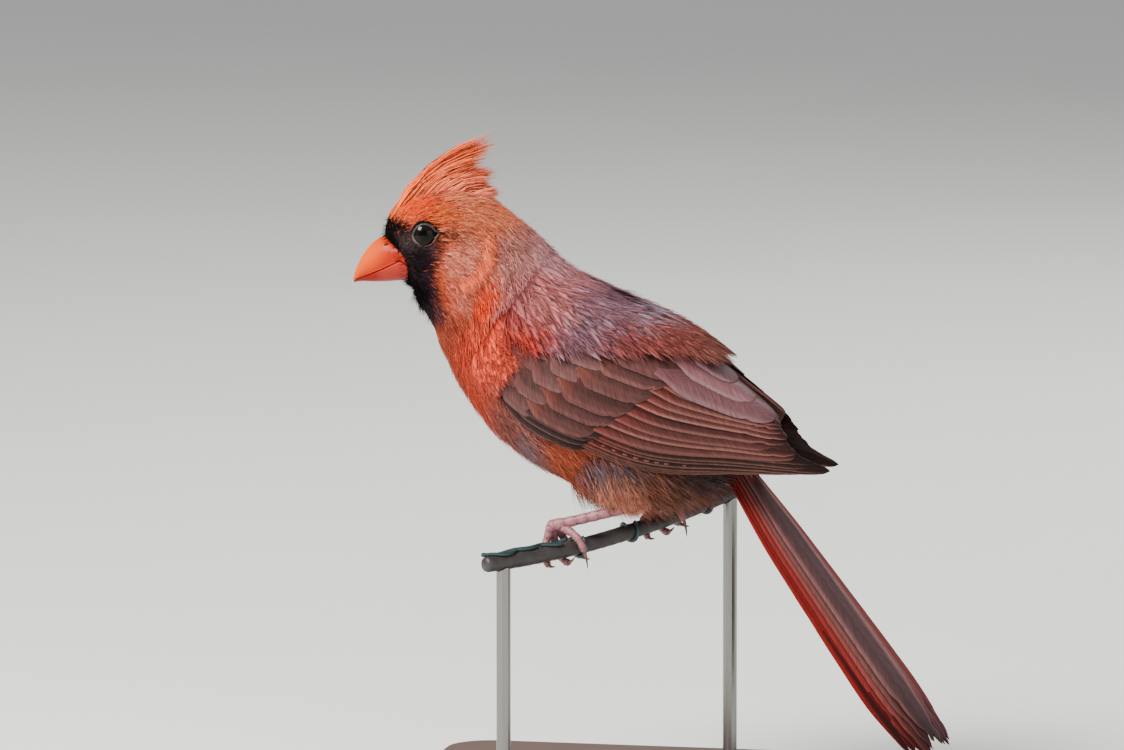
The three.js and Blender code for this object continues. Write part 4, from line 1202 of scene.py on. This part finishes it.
# webs: points, tint and place of each
def add_webs(node_name, webs, flip):
    points, tint, place = [np.stack(part) for part in zip(*webs)]
    uvs = {"web": place, "OFBake": web_sheet(len(webs))}
    piece = add_piece("flight_" + node_name, points, WEB, tint, uvs, flip=flip)
    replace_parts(piece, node_name)


# How far a web rises over its neighbour from its upper to its lower edge, and its half thickness
WEB_STEP = 0.36
WEB_THICK = 0.14


def wing_web(root, tip, width, lift, square, side, rng):
    t = WEB_LENGTHS
    station = root[0] + (tip[0] - root[0]) * t
    degrees = root[1] + (tip[1] - root[1]) * t
    outline = blade_outline(square) * width / 2
    lower = outline * worn_edge(rng, 0.3)
    upper = outline * worn_edge(rng, 0.2)
    around = carrier_point(station, degrees + 1, side) - carrier_point(station, degrees - 1, side)
    per_degree = np.linalg.norm(around, axis=1) / 2
    rise = lift * (1 - 0.5 * t) - 0.6 * (t == 0)
    rings = []
    for column, deep in zip(WEB_RING, WEB_HEIGHTS):
        half = np.where(column > 0, lower, upper)
        turn = column * half / per_degree
        step = WEB_STEP * column * half / outline.max()
        thick = WEB_THICK * (0.4 + 0.6 * outline / outline.max())
        rings.append(carrier_point(station, degrees + turn, side, rise + step + deep * thick))
    points = np.stack(rings, axis=1)
    long = np.linalg.norm(np.diff(points[:, 0], axis=0), axis=1).sum()
    return points, web_place(width / 2, t[:, None] * long + rng.uniform(0, 40))


def wing(node_name, side):
    rng = np.random.default_rng(41)
    webs = []
    for count, roots, tips, bulge, width, lift, codes, square, shown in TIERS.values():
        for i in range(count):
            t = i / (count - 1)
            root, tip = [np.array(first) * (1 - t) + np.array(last) * t for first, last in (roots, tips)]
            tip[0] += bulge * math.sin(math.pi * t) + rng.normal(0, 0.05)
            tip[1] += rng.normal(0, 0.8)
            size = width * rng.uniform(0.92, 1.1)
            height = lift + 0.05 * rng.normal()
            points, place = wing_web(root, tip, size, height, square, side, rng)
            tint = web_tint(WEB_RING, codes, shown, rng) * rng.uniform(0.82, 1.14, (1, len(WEB_RING), 1))
            webs.append((points, tint, place))
    add_webs(node_name, webs, side == LEFT)


# Dark under-feathers that fill the wing below the webs
def wing_bed(name, side):
    row = between(WING_PLATE, np.linspace(0, len(WING_PLATE) - 1, 30))
    share = np.linspace(0, 1, 16)
    thin = 0.25 + 0.75 * smooth((8.8 - row[:, 0]) / 4)
    rings = []
    for depth, order in ((-0.5, share), (-2.2, share[::-1])):
        for part in order:
            degrees = row[:, 1] + (row[:, 2] - row[:, 1]) * part
            rings.append(carrier_point(row[:, 0], degrees, side, depth * thin))
    points = np.stack(rings, axis=1)
    add_piece(name, points, SKIN, linear("#5E403C"), flip=side == RIGHT)


# Tail: pairs of feathers from the middle one on top outwards and down. Colours of each pair: web, rim, root
TAIL_SHOWN = 0.5
TAIL_WEAR = 0.55
TAIL_THICK = 0.26
TAIL_BEND = 0.006
TAIL_COLOURS = [
    ("#8E6062", "#A4706E", "#6A3032"),
    ("#804440", "#A46A66", "#702824"),
    ("#7E3A38", "#A8524C", "#74201C"),
    ("#66100C", "#963430", "#6A100C"),
    ("#7A120C", "#9A201A", "#6E0E0A"),
    ("#5C0C0A", "#8C1C16", "#580A08"),
]


def tail():
    rng = np.random.default_rng(51)
    along = np.array([math.cos(TAIL_SLOPE), 0, -math.sin(TAIL_SLOPE)])
    back = np.array([-along[2], 0, along[0]])
    across = back * math.sin(TAIL_ROLL) + np.array([0, math.cos(TAIL_ROLL), 0])
    out = back * math.cos(TAIL_ROLL) - np.array([0, math.sin(TAIL_ROLL), 0])
    t = WEB_LENGTHS
    outline = blade_outline(0.75) * TAIL_WIDTH / 2
    outline = outline * np.interp(t, [0, 0.3, 0.8, 1], [0.8, 0.86, 1.05, 1.0])
    outline = outline * (1 - 0.35 * smooth((t - 0.82) / 0.18))
    thick = TAIL_THICK * (0.5 + 0.5 * outline / outline.max())
    tip_shade = 1 - 0.42 * smooth((t - 0.72) / 0.28)[:, None, None]
    webs = []
    for pair, codes in enumerate(TAIL_COLOURS):
        for side in (LEFT, RIGHT):
            order = side * (pair + 0.5)
            heading = unit(along + across * math.tan(order * TAIL_FAN + rng.normal(0, 0.004)))
            roof = TAIL_ROOF * min(1, abs(order) / 3) * side
            face_across = across * math.cos(roof) - out * math.sin(roof)
            face_out = out * math.cos(roof) + across * math.sin(roof)
            start = TAIL_ROOT + across * order * TAIL_ROOT_STEP - out * pair * TAIL_DROP
            length = TAIL_LENGTH - TAIL_SHORTER[pair] * (1 if side == LEFT else 0.6) + rng.normal(0, 0.6)
            outer = outline * worn_edge(rng, TAIL_WEAR)
            inner = outline * worn_edge(rng, TAIL_WEAR)
            rings = []
            for column, deep in zip(WEB_RING, WEB_HEIGHTS):
                aside = column * np.where(column * side > 0, outer, inner)
                raised = deep * thick - TAIL_BEND * aside**2
                lateral = aside[:, None] * face_across
                rings.append(start + heading * (length * t)[:, None] + lateral + raised[:, None] * face_out)
            place = web_place(TAIL_WIDTH / 2, t[:, None] * length + 9.0 * order)
            tint = web_tint(WEB_RING * side, codes, TAIL_SHOWN, rng) * tip_shade
            tint = tint * rng.uniform(0.62, 1.25, (1, len(WEB_RING), 1))
            webs.append((np.stack(rings, axis=1), tint, place))
    add_webs("tail", webs, False)


# Tubes along a path, for legs, toes, claws, rod and wire
def tube_points(path, radii, around, flat=1.0):
    path = np.asarray(path, float)
    heading = unit(np.gradient(path, axis=0))
    side = np.cross(UP, heading)
    weak = np.linalg.norm(side, axis=1) < 0.2
    side[weak] = [0, 1, 0]
    side = unit(side - (side * heading).sum(axis=1, keepdims=True) * heading)
    up = np.cross(heading, side)
    turn = np.linspace(0, 2 * np.pi, around, endpoint=False)
    ring = np.cos(turn)[None, :, None] * side[:, None] * flat + np.sin(turn)[None, :, None] * up[:, None]
    return path[:, None] + np.asarray(radii, float)[:, None, None] * ring


def curve_through(points, count):
    points = np.asarray(points, float)
    return between(points, np.linspace(0, len(points) - 1, count))


FRONT = unit(np.array([-ROD_HEADING[1], ROD_HEADING[0], 0]))
ABOVE = np.cross(FRONT, ROD_HEADING)
ABOVE = ABOVE if ABOVE[2] > 0 else -ABOVE
# Toes: root along the rod, spread along it, and distance and degrees round the rod's axis of the toe's
# joints and of its claw
TOES = {
    "inner": (2.6, 2.8, [(4.6, 82), (3.75, 118), (3.5, 156)], [(3.6, 190), (4.3, 216)]),
    "middle": (0, 0, [(4.8, 80), (3.8, 116), (3.5, 160), (3.5, 192)], [(3.6, 224), (4.4, 250)]),
    "outer": (-2.6, -3.0, [(4.6, 84), (3.75, 120), (3.5, 164)], [(3.6, 198), (4.3, 224)]),
    "hind": (1.6, 1.6, [(4.9, 8), (4.1, -30), (3.9, -66), (4.0, -98)], [(5.0, -122), (6.8, -142)]),
}
TOE_RADIUS = 1.24
CLAW_RADIUS = 0.66
LEG_TINT = linear("#9A6068")
CLAW_ROOT = linear("#8A6A5E")
CLAW_TIP = linear("#2E2422")


def around_rod(along, distance, degrees):
    return rod_point(along) + distance * (ABOVE * math.cos(degrees * DEG) + FRONT * math.sin(degrees * DEG))


# A tube with raised bands of scutes, and its tint, with painted shade in the grooves between them
def scaled_tube(path, radii, scutes):
    band = abs(np.sin(np.pi * scutes * np.linspace(0, 1, len(path)))) ** 0.5
    points = tube_points(path, radii * (0.88 + 0.14 * band), 20)
    # Painted shade: the tint is darkest where the tube narrows between scutes
    return points, LEG_TINT * (0.36 + 0.74 * band)[:, None, None]


def ball_part(centre, radius, tint):
    tilt = np.linspace(0.03, np.pi - 0.03, 18)
    path = np.array(centre) + stacked(-np.cos(tilt) * radius, tilt * 0, tilt * 0)
    return tube_points(path, np.sin(tilt) * radius, 20), tint


def leg(name, plan):
    toe_joint = np.array(plan["toes"])
    ankle = np.array(plan["ankle"])
    t = np.linspace(0, 1, 60)
    shank = ankle + (toe_joint - ankle) * np.linspace(-0.06, 0.985, 60)[:, None]
    radii = 1.42 + 0.5 * np.exp(-((t / 0.12) ** 2)) + 0.35 * np.exp(-(((1 - t) / 0.1) ** 2))
    parts = [scaled_tube(shank, radii, 8), ball_part(toe_joint, 1.75, LEG_TINT * 0.95)]
    centre = float((toe_joint - ROD_CENTRE) @ ROD_HEADING)
    claws = []
    for toe, (along, spread, wrap, claw) in TOES.items():
        count = len(wrap)
        root = toe_joint + ROD_HEADING * along * 0.3
        spots = [around_rod(centre + along + spread * (i + 1) / count, d, a) for i, (d, a) in enumerate(wrap)]
        path = curve_through([root, *spots], 44)
        s = np.linspace(0, 1, 44)
        pads = 1 + 0.09 * np.cos(2 * np.pi * (count - 0.5) * s)
        parts.append(scaled_tube(path, TOE_RADIUS * (1 - 0.28 * s) * pads, 3.5 * count))
        ends = [around_rod(centre + along + spread * 1.1, d, a) for d, a in claw]
        hooked = curve_through([path[-4], path[-1], *ends], 24)[3:]
        thin = np.linspace(0, 1, len(hooked))
        points = tube_points(hooked, CLAW_RADIUS * (1 - 0.93 * thin**1.3), 14, 0.8)
        thin = thin[:, None, None]
        claws.append((f"claw_{name}_{toe}", points, CLAW_ROOT * (1 - thin) + CLAW_TIP * thin))
    points, faces, tint = joined(parts)
    piece = add_piece("leg_" + name, points, SCALES, tint, faces=faces)
    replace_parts(piece, "tarsus_" + name, "foot_" + name)
    for claw_name, points, tint in claws:
        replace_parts(add_piece(claw_name + "_horn", points, HORN, tint), claw_name)


# Feathered thighs: a soft cone of salmon feathers down to the heel
THIGH_STAGES = np.array([[-0.35, 4.4], [0, 6.9], [0.35, 6.0], [0.65, 4.0], [0.86, 2.4], [0.97, 1.6]])
THIGH_TINT = linear("#C47A64")


def thigh(name, plan):
    rng = np.random.default_rng(61)
    hip, ankle = np.array(plan["hip"], float), np.array(plan["ankle"], float)
    rows = between(THIGH_STAGES, np.linspace(0, 5, 40))
    path = hip + (ankle - hip) * rows[:, :1]
    points = tube_points(path, rows[:, 1], 32)
    core = add_piece("thigh_skin_" + name, points, SKIN, THIGH_TINT * 0.6)
    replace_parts(core, "thigh_" + name)
    count = 4900
    i, j = rng.integers(4, 39, count), rng.integers(0, 32, count)
    roots = points[i, j] + rng.normal(0, 0.35, (count, 3))
    out = unit(points[i, j] - path[i])
    along = unit((ankle - hip)[None] - UP * 3 + rng.normal(0, 3.6, (count, 3)))
    where = stacked(0.72 + 0.0015 * i, 0.25 + 0.01 * j)
    tint = jittered(np.tile(THIGH_TINT, (count, 1)), rng, 0.3)
    long = rng.uniform(4.0, 8.0, count) * (1 - 0.62 * smooth((i - 8) / 26))
    sizes = long, rng.uniform(0.13, 0.3, count), rng.uniform(0.8, 1.8, count)
    tufts("thigh_coat_" + name, roots, (along, out), sizes, tint, where, {**DOWN_STYLE, "curl": 0.7})


def perch():
    s = np.linspace(-ROD_HALF_LENGTH, ROD_HALF_LENGTH, 120)
    radii = ROD_RADIUS + 0.03 * np.sin(s * 2.1) + 0.02 * np.sin(s * 5.3)
    radii[[0, -1]] = ROD_RADIUS - 0.35
    piece = add_piece("rod", tube_points(rod_point(s), radii, 32), ROD_PAINT, None)
    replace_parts(piece, "perch_rod")


# Binding wire: a coated strand that lies along the top of the rod, twisted a little, up to the left foot,
# and single turns that hold the rod further on
WIRE_START = -42.6
# Name, radius, length, and the twist's lie, sway and phase
WIRE_STRANDS = [("wire_along", 0.6, 27.0, 0.35, 0.5, 0.0), ("wire_over", 0.48, 24.0, 0.1, 0.62, 2.4)]
WIRE_TURNS = (-14.5, 2.5, 27.0)
WIRE_TURN_RADIUS = 0.48


def wound(along, turn, radius):
    reach = ROD_RADIUS + radius
    return rod_point(along) + reach * (ABOVE * np.cos(turn)[:, None] + FRONT * np.sin(turn)[:, None])


def binding_wire():
    tree = strand_tree(WIRE_COAT, 12)
    t = np.linspace(0, 1, 160)
    lines = []
    for name, radius, length, lie, sway, phase in WIRE_STRANDS:
        twist = lie + sway * np.sin(9 * t + phase)
        lines.append((name, radius, wound(WIRE_START + length * t, twist, radius)))
    turn = np.linspace(-0.4, 2 * np.pi - 0.3, 70)
    for number, where in enumerate(WIRE_TURNS, 1):
        path = wound(where + 0.5 * turn, turn, WIRE_TURN_RADIUS)
        lines.append((f"wire_turn_{number}", WIRE_TURN_RADIUS, path))
    for name, radius, path in lines:
        carrier = bpy.data.meshes.new(name)
        carrier.from_pydata((path * MM).tolist(), [(i, i + 1) for i in range(len(path) - 1)], [])
        piece_from_tree(name, carrier, tree, {"Radius": radius * MM})


def stand_finish():
    steel = post_material()
    for name, material in (("stand_base", WALNUT), ("stand_rod_front", steel), ("stand_rod_back", steel)):
        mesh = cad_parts[name].data
        mesh.materials.clear()
        mesh.materials.append(material)


# Floor, lights and camera
FLOOR_HALF = 12.0


def studio():
    mesh = bpy.data.meshes.new("floor")
    corners = [(-1, -1, 0), (1, -1, 0), (1, 1, 0), (-1, 1, 0)]
    mesh.from_pydata((np.array(corners) * FLOOR_HALF).tolist(), [], [[0, 1, 2, 3]])
    mesh.materials.append(FLOOR_PAINT)
    floor = bpy.data.objects.new("floor", mesh)
    bpy.context.scene.collection.objects.link(floor)
    world = bpy.data.worlds.new("Soft studio")
    world.use_nodes = True
    background = world.node_tree.nodes["Background"]
    background.inputs["Color"].default_value = (0.94, 0.97, 1.0, 1)
    background.inputs["Strength"].default_value = 0.36
    bpy.context.scene.world = world


def area_light(name, place, aim, size, power, colour):
    data = bpy.data.lights.new(name, "AREA")
    data.size = size
    data.energy = power
    data.color = colour
    light = bpy.data.objects.new(name, data)
    back = unit(np.array(place, float) - np.array(aim, float))
    side = unit(np.cross(UP, back))
    turn = np.stack([side, np.cross(back, side), back], axis=1)
    light.matrix_world = Matrix.Translation(place) @ Matrix(turn.tolist()).to_4x4()
    bpy.context.scene.collection.objects.link(light)


CAMERA_TURN = 12 * DEG
CAMERA_RISE = 8 * DEG
PIXELS_PER_MM = 3.75
ORIGIN_PIXEL = (610, 797)
IMAGE = (1124, 750)
CAMERA_DISTANCE = 3.33
SENSOR_WIDTH = 36.0


def camera():
    sin_a, cos_a = math.sin(CAMERA_TURN), math.cos(CAMERA_TURN)
    sin_e, cos_e = math.sin(CAMERA_RISE), math.cos(CAMERA_RISE)
    right = np.array([cos_a, sin_a, 0])
    up = np.array([-sin_a * sin_e, cos_a * sin_e, cos_e])
    back = np.array([sin_a * cos_e, -cos_a * cos_e, sin_e])
    across = (IMAGE[0] / 2 - ORIGIN_PIXEL[0]) / PIXELS_PER_MM * MM
    high = (ORIGIN_PIXEL[1] - IMAGE[1] / 2) / PIXELS_PER_MM * MM
    place = right * across + up * high + back * CAMERA_DISTANCE
    data = bpy.data.cameras.new("camera")
    data.sensor_width = SENSOR_WIDTH
    data.lens = SENSOR_WIDTH * CAMERA_DISTANCE / (IMAGE[0] / PIXELS_PER_MM * MM)
    data.clip_end = 60.0
    made = bpy.data.objects.new("camera", data)
    turn = np.stack([right, up, back], axis=1)
    made.matrix_world = Matrix.Translation(place.tolist()) @ Matrix(turn.tolist()).to_4x4()
    bpy.context.scene.collection.objects.link(made)
    bpy.context.scene.camera = made


camera()
studio()
area_light("key", (-0.6, -0.7, 1.0), (0, 0, 0.11), 0.5, 40, (1.0, 0.97, 0.93))
area_light("fill", (0.9, -0.8, 0.35), (0, 0, 0.1), 0.9, 5, (0.92, 0.96, 1.0))
area_light("rim", (0.3, 0.9, 0.8), (0, 0, 0.12), 0.6, 9, (1.0, 1.0, 1.0))

skin()
coat()
belly_fluff()
drapes()
for ear_side in (LEFT, RIGHT):
    ear_edge(ear_side)
crest()
bristles()
for eye_side in (LEFT, RIGHT):
    eyeball("eye_" + SIDE_NAMES[eye_side], eye_side)
    lids("lids_" + SIDE_NAMES[eye_side], eye_side)
half_bill("bill_upper", True)
half_bill("bill_lower", False)
nostrils()
for wing_side in (LEFT, RIGHT):
    wing("wing_" + SIDE_NAMES[wing_side], wing_side)
    wing_bed("bed_wing_" + SIDE_NAMES[wing_side], wing_side)
tail()
for leg_name, leg_plan in LEGS.items():
    leg(leg_name, leg_plan)
    thigh(leg_name, leg_plan)
perch()
binding_wire()
stand_finish()

bpy.context.view_layer.update()
